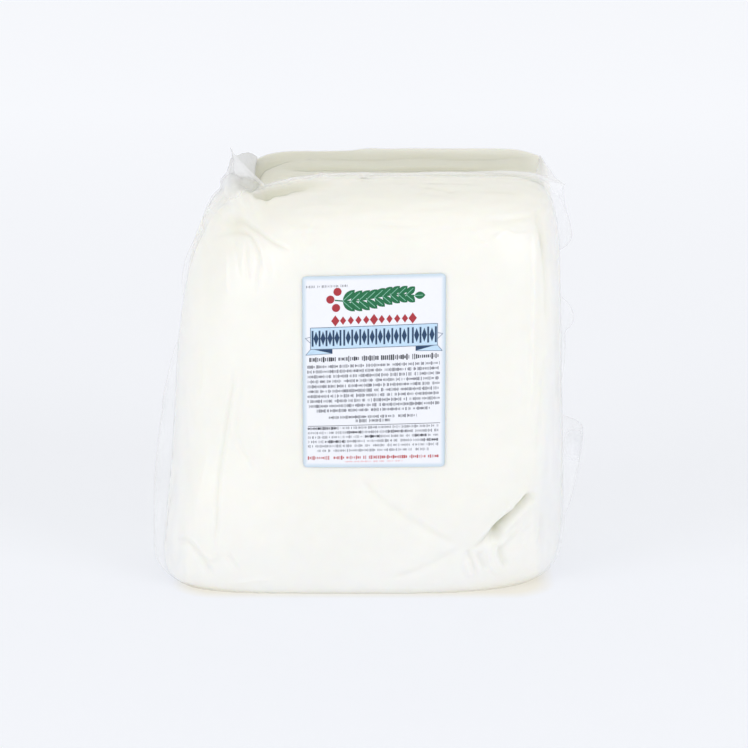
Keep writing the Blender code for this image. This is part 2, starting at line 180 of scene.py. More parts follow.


# %% [markdown]
# ## Folds that are pressed into the block
# When the air leaves the bag, the slack film is drawn into folds, and the soft curd behind it
# takes their shape. Each fold is a line with a half width and a depth. Close to the line the
# surface sinks by that depth, along its own normal, and it fades out at both ends. A negative
# depth is a ridge. The lines were laid out one by one, as a sculptor would scratch them in, so
# they stay a list; a smooth curve is run through the few points of each.

# %% Folds on the front, as (x, z) in millimetres
FRONT_FOLDS = (
    # the long crease at the left, and a shorter one beside it
    (((-69, 126), (-72, 108), (-75, 90), (-78, 71), (-79.5, 56), (-80, 42), (-82, 23)), 1.5, 1.1),
    (((-64, 118), (-66, 110), (-69, 92), (-67, 84), (-63, 76), (-58, 68)), 1.7, 0.6),
    (((-55.5, 100), (-54.5, 88), (-53.5, 80)), 1.3, 0.3),
    # two arcs below the loose corner, and the streaks that hang from them
    (((-80, 198), (-74, 199), (-66, 202), (-56, 199), (-47, 194.5), (-40, 192)), 1.1, 1.4),
    (((-86, 189), (-78, 193), (-70, 197), (-63, 197.5), (-59, 195), (-56, 189), (-54, 180)),
     1.1, 1.0),
    (((-70, 195), (-68, 186), (-66, 176)), 1.2, 0.4),
    (((-62.5, 193), (-62.5, 184), (-61.3, 174)), 1.2, 0.7),
    (((-55.3, 184), (-55.8, 176), (-56.2, 168)), 1.1, 0.7),
    (((-49.6, 189), (-48.6, 183), (-48.6, 176)), 1.1, 0.4),
    (((-73.7, 187), (-73.6, 176), (-73, 166)), 1.3, -0.35),
    (((-65, 195), (-64.6, 188), (-64.5, 181)), 1.1, -0.35),
    (((-58.9, 186), (-57.8, 176)), 1.1, -0.35),
    (((-58.4, 196), (-54.6, 189.5), (-52, 181)), 1.1, -0.35),
    # crinkles near the top, left of the middle
    (((-34, 191), (-31, 200), (-28, 205), (-25, 208)), 1.0, -0.5),
    (((-28, 187), (-24.5, 187.5)), 1.2, -0.5),
    (((-29.5, 193.5), (-26, 194.5)), 1.2, -0.4),
    (((-39.5, 202), (-37, 203.5)), 1.4, -0.4),
    (((-19.5, 206), (-17, 207)), 1.4, -0.4),
    (((-52, 212), (-44, 214), (-37, 216.5), (-28, 218)), 1.3, 0.5),
    (((-54, 208), (-41, 211), (-31, 215), (-20, 217)), 1.4, 0.5),
    # long wrinkles under the top edge, right of the middle
    (((61, 209), (70, 206.8), (80, 206.7), (92, 207.5)), 1.5, 0.8),
    (((45, 209.8), (56, 209.7), (62, 208.3), (68, 206.2)), 1.3, -0.6),
    (((69, 197), (73.6, 200.5), (77, 201), (81.5, 199.4), (90, 198.6)), 1.1, -0.7),
    (((61, 195.3), (66, 195)), 1.2, -0.7),
    (((57, 201.3), (62, 201.3)), 1.1, -0.5),
    (((19, 209), (24, 211.5), (31, 213), (37, 213), (44, 214.5), (52, 215.6)), 1.3, 0.5),
    (((84, 215.5), (95, 212)), 1.5, 0.8),
    # the right edge of the flat face
    (((92.5, 197), (92, 174), (91.5, 152), (91, 128), (90, 100)), 1.5, -1.2),
    (((96.5, 200), (97.6, 186), (98.8, 167), (99, 150)), 1.6, 1.4),
    (((103, 190), (104.5, 172), (105, 150), (104, 120)), 1.4, -1.0),
    (((104, 148), (104.5, 134)), 1.2, 0.7),
    (((100.5, 90), (101.5, 76), (103.5, 67)), 1.2, -0.7),
    (((84, 122), (85, 106)), 1.2, -0.4),
    (((62.5, 97), (61, 89), (60.5, 79)), 1.2, 0.3),
    # the pinched corner at the lower right, its knot and the rays that leave it
    (((89.5, 54.3), (86.5, 50.2), (83.5, 47.2)), 1.1, 3.4),
    (((80.5, 44.2), (77, 41.2), (73.5, 38), (70.5, 34.6)), 1.4, 3.0),
    (((88, 51.5), (79.2, 43.4), (72.6, 37.9), (66.7, 31.9), (60.1, 25.8)), 0.9, 1.6),
    (((94, 50), (86, 42), (79, 34), (75, 26)), 2.4, -1.2),
    (((58.3, 26), (57.5, 22.6), (59.4, 19), (61.4, 11)), 1.4, 1.4),
    (((52, 26), (44.4, 22.4), (37, 18.2), (26, 13.2), (16, 10)), 1.8, 1.0),
    (((52, 27.5), (41.5, 34), (30.6, 40.8), (24, 44.6), (15, 51), (6, 59), (-2.5, 69)), 2.6, 1.1),
    (((43, 36.5), (34, 42.8), (27, 48.7), (19, 56)), 1.6, -0.5),
    (((67.5, 28), (69.2, 18), (74, 10)), 1.7, -1.1),
    (((56, 19), (59, 10)), 1.9, -1.1),
    # the lower left corner
    (((-103, 27), (-96.7, 27.5), (-90, 21.4), (-83, 11)), 2.2, 1.3),
    (((-86, 21), (-82, 19.5), (-78, 23.5)), 1.2, -0.9),
    (((-75, 24), (-71, 18.5), (-68.5, 14)), 1.3, 0.9),
    (((-72, 5.5), (-61, 8), (-50, 9.3)), 1.4, -0.5),
)
FRONT_DIMPLES = (                # x, z, radius and depth, in millimetres
    (-70.5, 205.0, 7.5, 3.0),
    (82.8, 63.3, 4.5, 0.5),
    (76.0, 33.0, 7.0, 1.2),
)

# %% Folds on the top, as (x, y) in millimetres
TOP_FOLDS = (
    (((-40, 32), (-13, 33), (20, 32), (61, 32), (76, 24), (93, 25)), 2.6, 3.0),
    (((-37, 40), (-31, 46), (-19, 37)), 2.0, -1.2),
    (((-24, -3), (-20, 12), (-16, 20)), 2.0, -1.2),
    (((-30, 56), (0, 52), (30, 56), (62, 52), (84, 57)), 2.6, 1.2),
    (((8, -8), (28, -14), (48, -17), (70, -15)), 1.8, 0.9),
    (((-8, 69), (25, 70), (60, 70), (102, 68)), 7.0, -2.9),
    (((-50, 36), (-20, 32), (15, 31), (50, 32), (84, 35)), 2.6, 1.7),
    (((-44, 21), (-12, 19), (20, 20)), 2.0, 0.9),
)


# %% The depth of one fold
CURVE_STEPS = 5                  # points between two points of a fold's line
WIDTH_SHARE, DEPTH_SHARE = 0.9, 0.75     # all folds are this much narrower and shallower


def smooth_path(path):
    """More points on a smooth curve through the given ones (Catmull-Rom)."""
    knots = np.array(path, float) * MM
    knots = np.vstack([2 * knots[0] - knots[1], knots, 2 * knots[-1] - knots[-2]])
    points = []
    for before, start, end, after in zip(knots, knots[1:], knots[2:], knots[3:]):
        for step in np.arange(CURVE_STEPS) / CURVE_STEPS:
            points.append(0.5 * (2 * start + (end - before) * step
                                 + (2 * before - 5 * start + 4 * end - after) * step ** 2
                                 + (3 * start - before - 3 * end + after) * step ** 3))
    return np.array(points + [knots[-2]])


def near_line(a, b, path, reach):
    """Points within reach of a path: a mask, their distance, share along it, and side."""
    line = smooth_path(path)
    low, high = line.min(axis=0) - reach, line.max(axis=0) + reach
    near = (a > low[0]) & (a < high[0]) & (b > low[1]) & (b < high[1])
    spots = np.stack([a[near], b[near]], axis=1)
    best = np.full(len(spots), np.inf)
    along, side = np.zeros(len(spots)), np.ones(len(spots))
    for number, (start, end) in enumerate(zip(line, line[1:])):
        run = end - start
        share = np.clip(((spots - start) @ run) / (run @ run), 0.0, 1.0)
        away = spots - start - share[:, None] * run
        distance = np.linalg.norm(away, axis=1)
        closer = distance < best
        best = np.where(closer, distance, best)
        along = np.where(closer, (number + share) / (len(line) - 1), along)
        side = np.where(closer, np.sign(run[0] * away[:, 1] - run[1] * away[:, 0]), side)
    return near, best, along, side


def fold_depth(a, b, path, width, depth):
    """Depth of one fold at the points (a, b), zero away from its line."""
    width = WIDTH_SHARE * width * MM
    near, distance, along, _ = near_line(a, b, path, 3.0 * width)
    fade = ramp(0.0, 0.18, along + 0.05) * ramp(1.0, 0.82, along - 0.05)
    result = np.zeros(len(a))
    result[near] = DEPTH_SHARE * depth * MM * fade * np.exp(-(distance / width) ** 2)
    return result


def ledge_depth(a, b, path, depth, lip, run, ends):
    """A one-sided fold: a steep lip along the path, and a dent that runs out to its left."""
    near, distance, along, side = near_line(a, b, path, 3.0 * run * MM)
    left = distance * side
    wall = ramp(-0.3 * lip * MM, lip * MM, left)
    fade = np.exp(-(np.maximum(left, 0.0) / (run * MM)) ** 2)
    fade = fade * ramp(0.0, ends[0], along) * ramp(1.0, 1.0 - ends[1], along)
    result = np.zeros(len(a))
    result[near] = depth * MM * wall * fade
    return result


# %% [markdown]
# ## Ledges
# Some folds have one steep side only, because the slack film was laid over to that side. At the
# lower right the bag was caught as the air left it, and the curd below the fold was pushed in by
# some millimetres. Wedges of slack film run along the front edge of the top, and a long ledge
# marks where the right side begins. The dent lies on the left of each path's direction. Behind
# the seal the top sinks in a broad trough. Its colour gets painted shade as if it were deeper,
# since little light comes into it, and so does a patch before the seal's left end.

# %% Paths of the ledges
FRONT_LEDGES = (                 # (x, z) path; depth, lip and run-out in mm; fading ends
    (((90.5, 57), (85, 48.8), (79.5, 44), (73, 38.5), (67, 32.5), (60, 26)), 3.7, 1.1, 4.4,
     (0.10, 0.45)),
    (((73, 38.5), (69.5, 33), (68, 27)), 1.6, 1.6, 6.0, (0.2, 0.5)),
    (((73.5, 28), (73.6, 21), (75.5, 16), (79.5, 11.5)), 1.6, 1.2, 4.0, (0.2, 0.3)),
    (((61, 24), (63, 18), (67, 10)), 1.3, 1.2, 3.5, (0.2, 0.3)),
    (((97.5, 146), (96, 129), (94.3, 108), (92.6, 85), (91.5, 64)), 0.8, 2.4, 4.5, (0.3, 0.3)),
    (((96.5, 47), (96.8, 37), (96.3, 28), (94.2, 19)), 1.6, 2.0, 3.5, (0.4, 0.3)),
    (((91, 214), (92.5, 203), (94.5, 196), (96.5, 185), (97.5, 170)), 1.5, 2.4, 4.5, (0.2, 0.4)),
)
TOP_LEDGES = (                   # (x, y) path
    (((-57.5, -26.5), (-50, -23), (-41.6, -20), (-33, -17.5), (-24.9, -12.6), (-12, -6)), 3.2,
     1.6, 27.0, (0.02, 0.80)),
    (((12, -17), (25, -25), (36.4, -31), (47.5, -38), (60, -43)), 1.1, 1.5, 6.0, (0.4, 0.3)),
    (((14, -31), (35.6, -43), (57.9, -50)), 0.8, 1.3, 5.0, (0.4, 0.4)),
    (((57, -37), (71.8, -39), (86, -36)), 1.3, 1.5, 6.0, (0.4, 0.2)),
    (((-62, 6), (-60, 22), (-56.8, 34.5), (-51, 41), (-45, 47), (-36, 46)), 2.4, 1.6, 7.0,
     (0.1, 0.3)),
)
TROUGH = ((5.0, 18.0), (72.0, 58.0), 2.9)    # behind the seal: two slopes in y, and its depth
HOLLOW_SHADE, WEDGE_SHADE = 2.6, 1.9     # painted shade, as dark as on folds that much deeper, in mm
WEDGE = ((-42.0, 25.0), (-12.0, 12.0))   # where painted shade lies before the seal's left end: place and span in x, y


# %% [markdown]
# ## Wrinkles that nobody placed
# The other sides of the pack have folds too, and the whole film has a fine crumple. They are
# drawn at random with a fixed seed, so that each run gives the same pack: long folds that run
# up the sides and the back, and a noise that is stretched along the pull of the film.

# %% Random folds and crumple
SIDE_FOLDS = 9                   # on each side, and twice as many on the back
FOLD_SEED = 11
FOLD_SPANS, FOLD_WIDTHS = (0.25, 0.6), (1.3, 2.4)        # share of the height; millimetres
FOLD_DEPTHS, FOLD_WANDER = [-0.7, 0.7, 1.1], 2.2         # millimetres


def random_folds(count, across, low, high, seed):
    """Long upright folds between two heights, as lists of (place, z) in millimetres."""
    draw = np.random.default_rng(seed)
    folds = []
    for number in range(count):
        place = across[0] + (across[1] - across[0]) * (number + draw.uniform(0.2, 0.8)) / count
        start = draw.uniform(low, low + 0.5 * (high - low))
        end = min(high, start + draw.uniform(*FOLD_SPANS) * (high - low))
        steps = np.linspace(start, end, 4)
        path = [(place + draw.normal(0.0, FOLD_WANDER), step) for step in steps]
        folds.append((path, draw.uniform(*FOLD_WIDTHS), draw.choice(FOLD_DEPTHS)))
    return folds


DRAWN_FOLDS = (                  # the axis and the sense in which the side looks, its folds
    (1, 1.0, random_folds(2 * SIDE_FOLDS, (-100, 100), 12, 205, FOLD_SEED)),
    (0, -1.0, random_folds(SIDE_FOLDS, (-58, 62), 15, 160, FOLD_SEED + 1)),
    (0, 1.0, random_folds(SIDE_FOLDS, (-58, 64), 15, 200, FOLD_SEED + 2)),
)


def crumple(points, stretch, shift):
    """Sharp-crested noise between 0 and 1 at each point, with one cell per stretch (mm)."""
    cells = points / (np.array(stretch) * MM) + shift
    return np.array([1.0 - abs(noise.noise(Vector(cell))) for cell in cells])


print("folds:", len(FRONT_FOLDS) + len(TOP_FOLDS), "placed,",
      sum(len(folds) for _, _, folds in DRAWN_FOLDS), "drawn")


# %% All folds together
PINCH = (79.0, 37.0, 15.0)       # where the film is crumpled on the dent: x, z and radius in mm
PINCH_CRUMPLE, TOP_CRUMPLE, SIDE_CRUMPLE = 1.1, 1.25, 0.40       # depths of the crumple, in mm
REST_CRUMPLE, REST_CRUMPLE_TOP = 0.05, 0.12
TOP_BAND, SIDE_BAND = (0.186, 0.214), (0.070, 0.100)     # where the top and the sides begin, in m
CALM_HALF, CALM_FADE = (0.050, 0.064), (0.85, 1.25)      # no crumple below the label
# How squarely a normal looks along an axis for a side's folds to set in, and to be full
FRONT_FACING, SIDE_FACING, TOP_FACING = (0.15, 0.5), (0.35, 0.85), (0.5, 0.9)
HOLLOW_BAND, HOLLOW_ENDS = (14.0, 40.0), 0.35    # y in mm; share of the shade at its two ends


def relief(points, normals):
    """How far each point is pressed in along its normal by folds, dents and crumple."""
    x, y, z = points.T
    front = sum(fold_depth(x, z, *fold) for fold in FRONT_FOLDS)
    front = front + sum(ledge_depth(x, z, *ledge) for ledge in FRONT_LEDGES)
    for spot_x, spot_z, radius, depth in FRONT_DIMPLES:
        away2 = (x - spot_x * MM) ** 2 + (z - spot_z * MM) ** 2
        front = front + depth * MM * np.exp(-away2 / (radius * MM) ** 2)
    pressed = front * ramp(*FRONT_FACING, -normals[:, 1])
    for axis, sense, folds in DRAWN_FOLDS:
        across = points[:, 1 - axis]
        drawn = sum(fold_depth(across, z, *fold) for fold in folds)
        pressed += ramp(*SIDE_FACING, sense * normals[:, axis]) * drawn
    top = sum(fold_depth(x, y, *fold) for fold in TOP_FOLDS)
    top = top + sum(ledge_depth(x, y, *ledge) for ledge in TOP_LEDGES)
    (front_low, front_high), (rear_low, rear_high), depth = TROUGH
    trough = ramp(front_low, front_high, y / MM) * ramp(rear_low, rear_high, y / MM)
    top = top + depth * MM * trough * ramp(1.0, 0.85, np.abs(x) / half_width(x, z))
    return pressed + ramp(*TOP_FACING, normals[:, 2]) * top


def top_shade(points, normals):
    """How much painted shade the hollows of the top get, as extra depth of fold."""
    x, y, z = points.T
    sides = ramp(1.0, 0.80, np.abs(x) / half_width(x, z))
    behind = HOLLOW_SHADE * ramp(*HOLLOW_BAND, y / MM) * blend(HOLLOW_ENDS, 1.0, sides)
    (wedge_x, span_x), (wedge_y, span_y) = WEDGE
    off = ((x / MM - wedge_x) / span_x) ** 2 + ((y / MM - wedge_y) / span_y) ** 2
    return ramp(*TOP_FACING, normals[:, 2]) * (behind + WEDGE_SHADE * np.exp(-off ** 2))


def fine_relief(points, normals):
    """The crumple of the film: long wrinkles across the top, upright ones at the sides."""
    x, y, z = points.T
    label_x, _, label_z = (label_low + label_high) / 2.0
    off_label = np.maximum(np.abs(x - label_x) / CALM_HALF[0], np.abs(z - label_z) / CALM_HALF[1])
    calm = np.where(y < 0.0, ramp(*CALM_FADE, off_label), 1.0)
    across = crumple(points, (46.0, 11.0, 5.5), 3.7)
    upright = crumple(points, (7.0, 11.0, 60.0), 8.1)
    patch = crumple(points, (6.5, 6.5, 6.5), 1.9)
    high, sides = ramp(*TOP_BAND, z), ramp(*SIDE_BAND, np.abs(x))
    pinch_x, pinch_z, radius = (value * MM for value in PINCH)
    away2 = (x - pinch_x) ** 2 + (z - pinch_z) ** 2
    pinched = np.exp(-away2 / radius ** 2) * ramp(0.0, 0.5, -normals[:, 1])
    slanted = np.column_stack((x + z, y, z - x)) / math.sqrt(2.0)
    wrinkled = PINCH_CRUMPLE * pinched * crumple(slanted, (15.0, 20.0, 3.6), 5.2)
    wrinkled = wrinkled + TOP_CRUMPLE * high * across
    wrinkled = wrinkled + SIDE_CRUMPLE * sides * (1.0 - high) * upright
    wrinkled = wrinkled + (REST_CRUMPLE + REST_CRUMPLE_TOP * high) * patch
    return wrinkled * calm * MM


# %% [markdown]
# ## The seam: fins, sealed end and loose corners
# The bag is two plies of film that are welded all round. Where the curd doesn't fill it, the two
# plies lie together and stand off the block as a thin fin, and its corners stick out as small
# ears. In the box of cells the fin is a stack of extra rows along the seam: each row moves
# outwards by its share of the fin's reach, and the gap between the plies closes on the way.
# At the upper left the front ply is slack: it doesn't cling to the block's shoulder, but spans
# from the front face almost straight to the fin's edge, and the soft curd fills most of that
# span. At both lower corners the seam swings forward.

# %% Sizes of the seam
FIN_ROOT = 0.05                  # share of the half depth where the film leaves the curd
FIN_ROWS = (0.0, 0.16, 0.34, 0.54, 0.76, 1.0)    # from the root to the weld
FIN_CLOSING = 2.4                # how fast the plies come together
FIN_TIP = 0.15 * MM              # half thickness of the weld
FIN_SWAY, FIN_SWAY_LENGTH = 0.35, 50.0 * MM
FOOT_CLEAR = 12.0 * MM
SEAL_HEIGHT = 2.8 * MM           # how far the sealed end stands up
FIN_ROUNDNESS = 0.8              # of its swells: 1 gives parabolas, less gives fuller ones
SEAM_SWING_LEFT, SEAM_SWING_RIGHT, SEAM_SWING_FROM, SWING_EASE = 0.66, 0.55, -0.32, 1.5
# Turns in degrees about the pack's middle, seen from the front: 0 down, 90 right, 180 up
SEAL_TURNS = (127.0, 218.0)
FIN_SWELLS = (                   # turn of the crest, degrees before and after it, reach in mm
    (52.0, (12.0, 12.0), 1.8),
    (73.0, (19.5, 3.4), 12.5),
    (98.0, (14.0, 17.0), 3.5),
    (105.0, (4.5, 6.0), 8.5),
    (125.5, (3.5, 9.0), 8.0),
    (212.0, (4.5, 17.0), 12.5),
    (213.9, (2.6, 5.0), 18.0),
    (236.0, (10.0, 12.0), 4.0),
    (138.0, (7.0, 22.0), 4.6),
    (293.0, (33.0, 25.0), 8.8),
)
SPAN_TURNS, SPAN_DEPTH, SPAN_EASE = (205.0, 236.0), 0.85, 1.4
CURD_FOLLOWS = 0.80              # share of the span that the soft curd fills
SPAN_SLACK, FIN_SLACK = 14.0 * MM, 4.0 * MM      # the film is wholly slack at such a reach
PLIES_MEET = 2.0 * MM            # reach at which the plies have closed into a fin
LOOSE_CORNERS = (                # tip in millimetres, turn of the root, degrees before and after
    ((-73.9, 3.0, 235.6), 211.4, (2.2, 3.0)),
    ((111.5, -2.0, 215.0), 134.0, (4.5, 5.0)),
)


# %% Where the seam runs
def fin_lines():
    """Lines through the depth: the front, the fin's rows to the weld and back, the rear."""
    outer = spaced(2 * DEPTH_CELLS, 0.6)[:DEPTH_CELLS + 1]
    outer = outer * (1.0 - FIN_ROOT) - FIN_ROOT
    rows = [-FIN_ROOT * (1.0 - share) for share in FIN_ROWS[1:-1]]
    front = np.concatenate([outer, rows])
    return np.concatenate([front, [-0.001 * FIN_ROOT, 0.001 * FIN_ROOT], -front[::-1]])


def swung(u, v, w):
    """Depth coordinates with the seam (v = 0) swung forward at the lower corners."""
    low = np.clip((SEAM_SWING_FROM - w) / (1.0 + SEAM_SWING_FROM), 0.0, 1.0) ** SWING_EASE
    most = np.where(u < 0.0, SEAM_SWING_LEFT, SEAM_SWING_RIGHT)
    swing = most * low * ramp(0.2, 0.9, np.abs(u))
    return (v - swing) / (1.0 - swing * v)


def sealed(turn):
    """1 along the sealed end across the top, 0 elsewhere."""
    start, end = SEAL_TURNS
    return ramp(start, start + 8.0, turn) * ramp(end, end - 8.0, turn)


def seam_turn(points):
    return np.degrees(np.arctan2(points[:, 0], HEIGHT / 2.0 - points[:, 2])) % 360.0


def hump(off, spans):
    """1 at off = 0, falling to 0 at the two spans."""
    share = off / np.where(off < 0.0, *spans)
    return np.clip(1.0 - share ** 2, 0.0, 1.0)


# %% How far the fin stands off
def fin_step(points, normals):
    """The fin's reach at each point, as a vector and as a length."""
    turn = seam_turn(points)
    reach = SEAL_HEIGHT * sealed(turn)
    for crest, spans, most in FIN_SWELLS:
        swell = most * MM * hump(turn - crest, spans) ** FIN_ROUNDNESS
        reach = np.maximum(reach, swell)
    outward = normals * (1.0, 0.0, 1.0)
    sideways = np.maximum(np.linalg.norm(outward, axis=1), 1e-9)
    reach = reach * ramp(0.0, FOOT_CLEAR, points[:, 2]) * ramp(0.25, 0.8, sideways)
    return outward * (reach / sideways)[:, None], reach


def spanning(points, normals, v):
    """Points where the film spans from the front face to the fin, and how slack it is."""
    start, end = SPAN_TURNS
    turn = seam_turn(points)
    lifted = np.clip(1.0 + v / SPAN_DEPTH, 0.0, 1.0) ** SPAN_EASE * (v < 0.0)
    lifted = lifted * ramp(start, start + 6.0, turn) * ramp(end, end - 8.0, turn)
    lifted = lifted * ramp(0.1, 0.5, np.hypot(normals[:, 0], np.maximum(normals[:, 2], 0.0)))
    step, reach = fin_step(points, normals)
    return points + step * lifted[:, None], ramp(0.0, SPAN_SLACK, lifted * reach)


# %% Move the seam rows out
def fin_points(here, centre, root, normals, v):
    """The rows of the fin: centre lies on the seam, root where each ply leaves the curd.

    Also gives how slack the film is there, and where its plies are folded together."""
    x, _, z = centre.T
    share = np.clip(1.0 - np.abs(v) / FIN_ROOT, 0.0, 1.0)
    share = np.where(share > 0.99, 1.0, share)
    step, reach = fin_step(centre, normals)
    moved = centre + step * share[:, None]
    moved[:, 1] += FIN_SWAY * reach * share * np.sin((x + z) * 2.0 * math.pi / FIN_SWAY_LENGTH)
    turn = seam_turn(centre)
    pulled = np.zeros(len(centre))
    for tip, middle, spans in LOOSE_CORNERS:
        off = turn - middle
        near = np.clip(1.0 - np.abs(off) / np.where(off < 0.0, *spans), 0.0, 1.0)
        pull = np.array(tip) * MM + moved * (0.0, 1.0, 0.0) - moved
        moved = moved + pull * (near * share ** 1.5)[:, None]
        pulled = np.maximum(pulled, near)
    apart = root - centre
    tip_share = FIN_TIP / np.maximum(np.linalg.norm(apart, axis=1), FIN_TIP)
    closed = (1.0 - share) ** FIN_CLOSING * (1.0 - tip_share) + tip_share
    closing = np.maximum(ramp(0.0, PLIES_MEET, reach), pulled)[:, None]
    clinging = here + moved - centre
    slack = share * np.maximum(ramp(0.0, FIN_SLACK, reach), pulled)
    folded = share * np.maximum(pulled, sealed(turn))
    return clinging + (moved + apart * closed[:, None] - clinging) * closing, slack, folded


# %% Where the film looks milky
RIGHT_EDGE_Z = (0.0, 63.0, 155.0, 220.0)         # the film leaves the front face along this line
RIGHT_EDGE_X = (91.0, 91.5, 97.5, 95.0)
VEILS = (                        # how milky, and the millimetres over which it sets in
    (0.80, -1.5, 9.0),           # at the right, from that line
    (0.75, -86.0, -106.0),       # at the left
    (0.30, 60.0, 5.0),           # down to the foot
    (0.20, -10.0, 30.0),         # from the seam to the back
)
VEIL_ENDS = (25.0, -5.0)         # y by which the first two have gone, and where they are full
FOLDED_MILK, SHEET_MILK = 1.3, 2.3       # more where several plies lie together
GLINT = ((119.0, 6.0), (66.0, 9.0), 3.2)         # a painted highlight on the right fin, made by milkier film: x, z, their radii


def veil(points):
    """Where the film stands a hair off the curd, from 0 to 1, and more in a painted highlight."""
    x, y, z = points.T / MM
    from_edge = x - np.interp(z, RIGHT_EDGE_Z, RIGHT_EDGE_X)
    right, left, low, rest = (most * ramp(start, end, value) for (most, start, end), value
                              in zip(VEILS, (from_edge, x, z, y)))
    streaks = 0.5 + 0.5 * crumple(points, (5.0, 14.0, 60.0), 5.5)
    streaks = streaks * ramp(*VEIL_ENDS, y)
    (glint_x, wide), (glint_z, high), most = GLINT
    glint = most * np.exp(-((x - glint_x) / wide) ** 2 - ((z - glint_z) / high) ** 2)
    return np.max([right * streaks, left * streaks, low, rest, glint], axis=0)


# %% [markdown]
# ## The curd and the film
# Both are the same rounded box. The curd stops a hair inside the film and has no fins. The film
# is a closed shell just outside it: it follows the curd wherever it clings, and it carries the
# fins. The meshes keep values at every point for the materials: how deep the curd was pressed,
# with more depth added in the hollows of the top for their painted shade, how slack the film is,
# and how milky both look where the film stands off.

# %% Build both meshes
WIDE_CELLS, HIGH_CELLS, DEPTH_CELLS = 160, 164, 22
FILM_INSET, CURD_INSET = 0.25 * MM, 0.75 * MM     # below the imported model's surface


def add_object(name, data):
    item = bpy.data.objects.new(name, data)
    bpy.context.scene.collection.objects.link(item)
    return item


def smooth_object(name, points, faces):
    mesh = new_mesh(name, points, faces)
    mesh.shade_smooth()
    return add_object(name, mesh)


def store(item, name, values):
    layer = item.data.attributes.new(name, "FLOAT", "POINT")
    layer.data.foreach_set("value", np.asarray(values, np.float32))


def packed_shape(name, inset, is_film):
    """The block with its folds, and with its fins and slack parts if it is the film."""
    lines = (spaced(WIDE_CELLS), fin_lines(), spaced(HIGH_CELLS))
    cells, quads = box_surface(lines)
    u, v, w = (line[cells[:, axis]] for axis, line in enumerate(lines))
    points = block_points(u, swung(u, v, w), w)
    normals = vertex_normals(points, quads)
    standing = (points[:, 2] > 0.0).astype(float)
    pressed = relief(points, normals)
    sunk = normals * ((pressed + fine_relief(points, normals) + inset) * standing)[:, None]
    points = points - sunk
    spanned, slack = spanning(points, normals, v)
    folded = slack.copy()
    if is_film:
        points, lowest = spanned, 0.0
        seam = np.abs(v) < FIN_ROOT + 1e-6
        u, v, w, near = u[seam], v[seam], w[seam], points[seam]
        centre = block_points(u, swung(u, 0.0 * v, w), w) - sunk[seam]
        root = block_points(u, swung(u, np.sign(v) * FIN_ROOT, w), w) - sunk[seam]
        rows, fin_slack, fin_folded = fin_points(near, centre, root, normals[seam], v)
        stay = (ramp(0.0, 0.3, slack[seam]) * (v < 0.0))[:, None]
        keep = np.clip(np.abs(v) / FIN_ROOT, 0.0, 1.0)[:, None]
        points[seam] = rows + (near - rows) * keep * stay
        slack[seam] = np.maximum(slack[seam], fin_slack)
        folded[seam] = np.maximum(folded[seam], fin_folded)
    else:
        filled = CURD_FOLLOWS * ramp(0.02, 0.30, -v)
        points = points + (spanned - points) * filled[:, None]
        lowest = CURD_INSET - FILM_INSET
    points[:, 2] = np.maximum(points[:, 2], lowest)
    item = smooth_object(name, points, quads)
    milky = veil(points)
    if is_film:
        store(item, "slack", slack)
        milky = np.maximum(slack, milky) + FOLDED_MILK * folded
    else:
        # the curd's colour takes painted shade from this: its folds' depth and the top's hollows
        store(item, "pressed", pressed / MM + top_shade(points, normals))
    store(item, "milky", milky)
    print(name, len(quads) * 2, "triangles")
    return item


curd_block = packed_shape("curd_block", CURD_INSET, False)
clear_film = packed_shape("clear_film", FILM_INSET, True)

# %% [markdown]
# ## Slack sheets at the upper corners
# Behind the loose corner the bag's gusset stands up as a small tent, and at the right end of the
# seal it is drawn out into a fan. Each is a sheet that is stretched over a few lines in space, so
# it is made as one: smooth curves are run through the lines, and then across them.

# %% The lines that carry the sheets, in millimetres
SHEET_THICKNESS, SHEET_CRUMPLE = 0.25 * MM, 0.9
LEFT_TENT = (
    ((-74.5, 1.0, 223.4), (-70.3, 2.0, 221.5), (-65.5, 4.0, 218.6), (-60.7, 6.0, 216.0)),
    ((-73.8, 6.0, 225.2), (-69.7, 12.0, 223.6), (-65.0, 28.0, 219.6), (-60.8, 38.0, 215.8)),
    ((-73.4, 11.0, 226.1), (-70.6, 24.0, 226.4), (-65.3, 45.0, 224.4), (-60.9, 61.0, 219.4)),
    ((-76.5, 12.0, 208.0), (-75.0, 26.0, 208.0), (-71.0, 46.0, 208.0), (-66.0, 60.0, 208.0)),
)
RIGHT_FAN = (
    ((100.6, 64.0, 219.4), (98.5, 38.0, 219.0), (96.0, 13.0, 218.6), (97.5, 0.0, 217.2)),
    ((101.6, 65.0, 219.0), (101.5, 39.0, 217.8), (100.5, 14.0, 217.4), (103.0, 0.0, 216.2)),
    ((103.5, 62.0, 216.4), (105.1, 38.0, 216.2), (106.9, 14.0, 215.8), (110.5, 0.0, 214.8)),
)


# %% Closed thin meshes
def closed_sheet(name, lower, upper):
    """A thin closed mesh between two grids of points (rows, columns, 3)."""
    rows, columns = lower.shape[:2]
    number = np.arange(2 * rows * columns).reshape(2, rows, columns).tolist()
    faces = []
    for row in range(rows - 1):
        for column in range(columns - 1):
            ring = [(row, column), (row, column + 1), (row + 1, column + 1), (row + 1, column)]
            faces.append([number[1][r][c] for r, c in ring])
            faces.append([number[0][r][c] for r, c in ring[::-1]])
    rim = [(0, column) for column in range(columns - 1)]
    rim += [(row, columns - 1) for row in range(rows - 1)]
    rim += [(rows - 1, column) for column in range(columns - 1, 0, -1)]
    rim += [(row, 0) for row in range(rows - 1, 0, -1)]
    for (r0, c0), (r1, c1) in zip(rim, rim[1:] + rim[:1]):
        faces.append([number[0][r0][c0], number[0][r1][c1], number[1][r1][c1],
                      number[1][r0][c0]])
    return smooth_object(name, np.concatenate([lower.reshape(-1, 3), upper.reshape(-1, 3)]), faces)


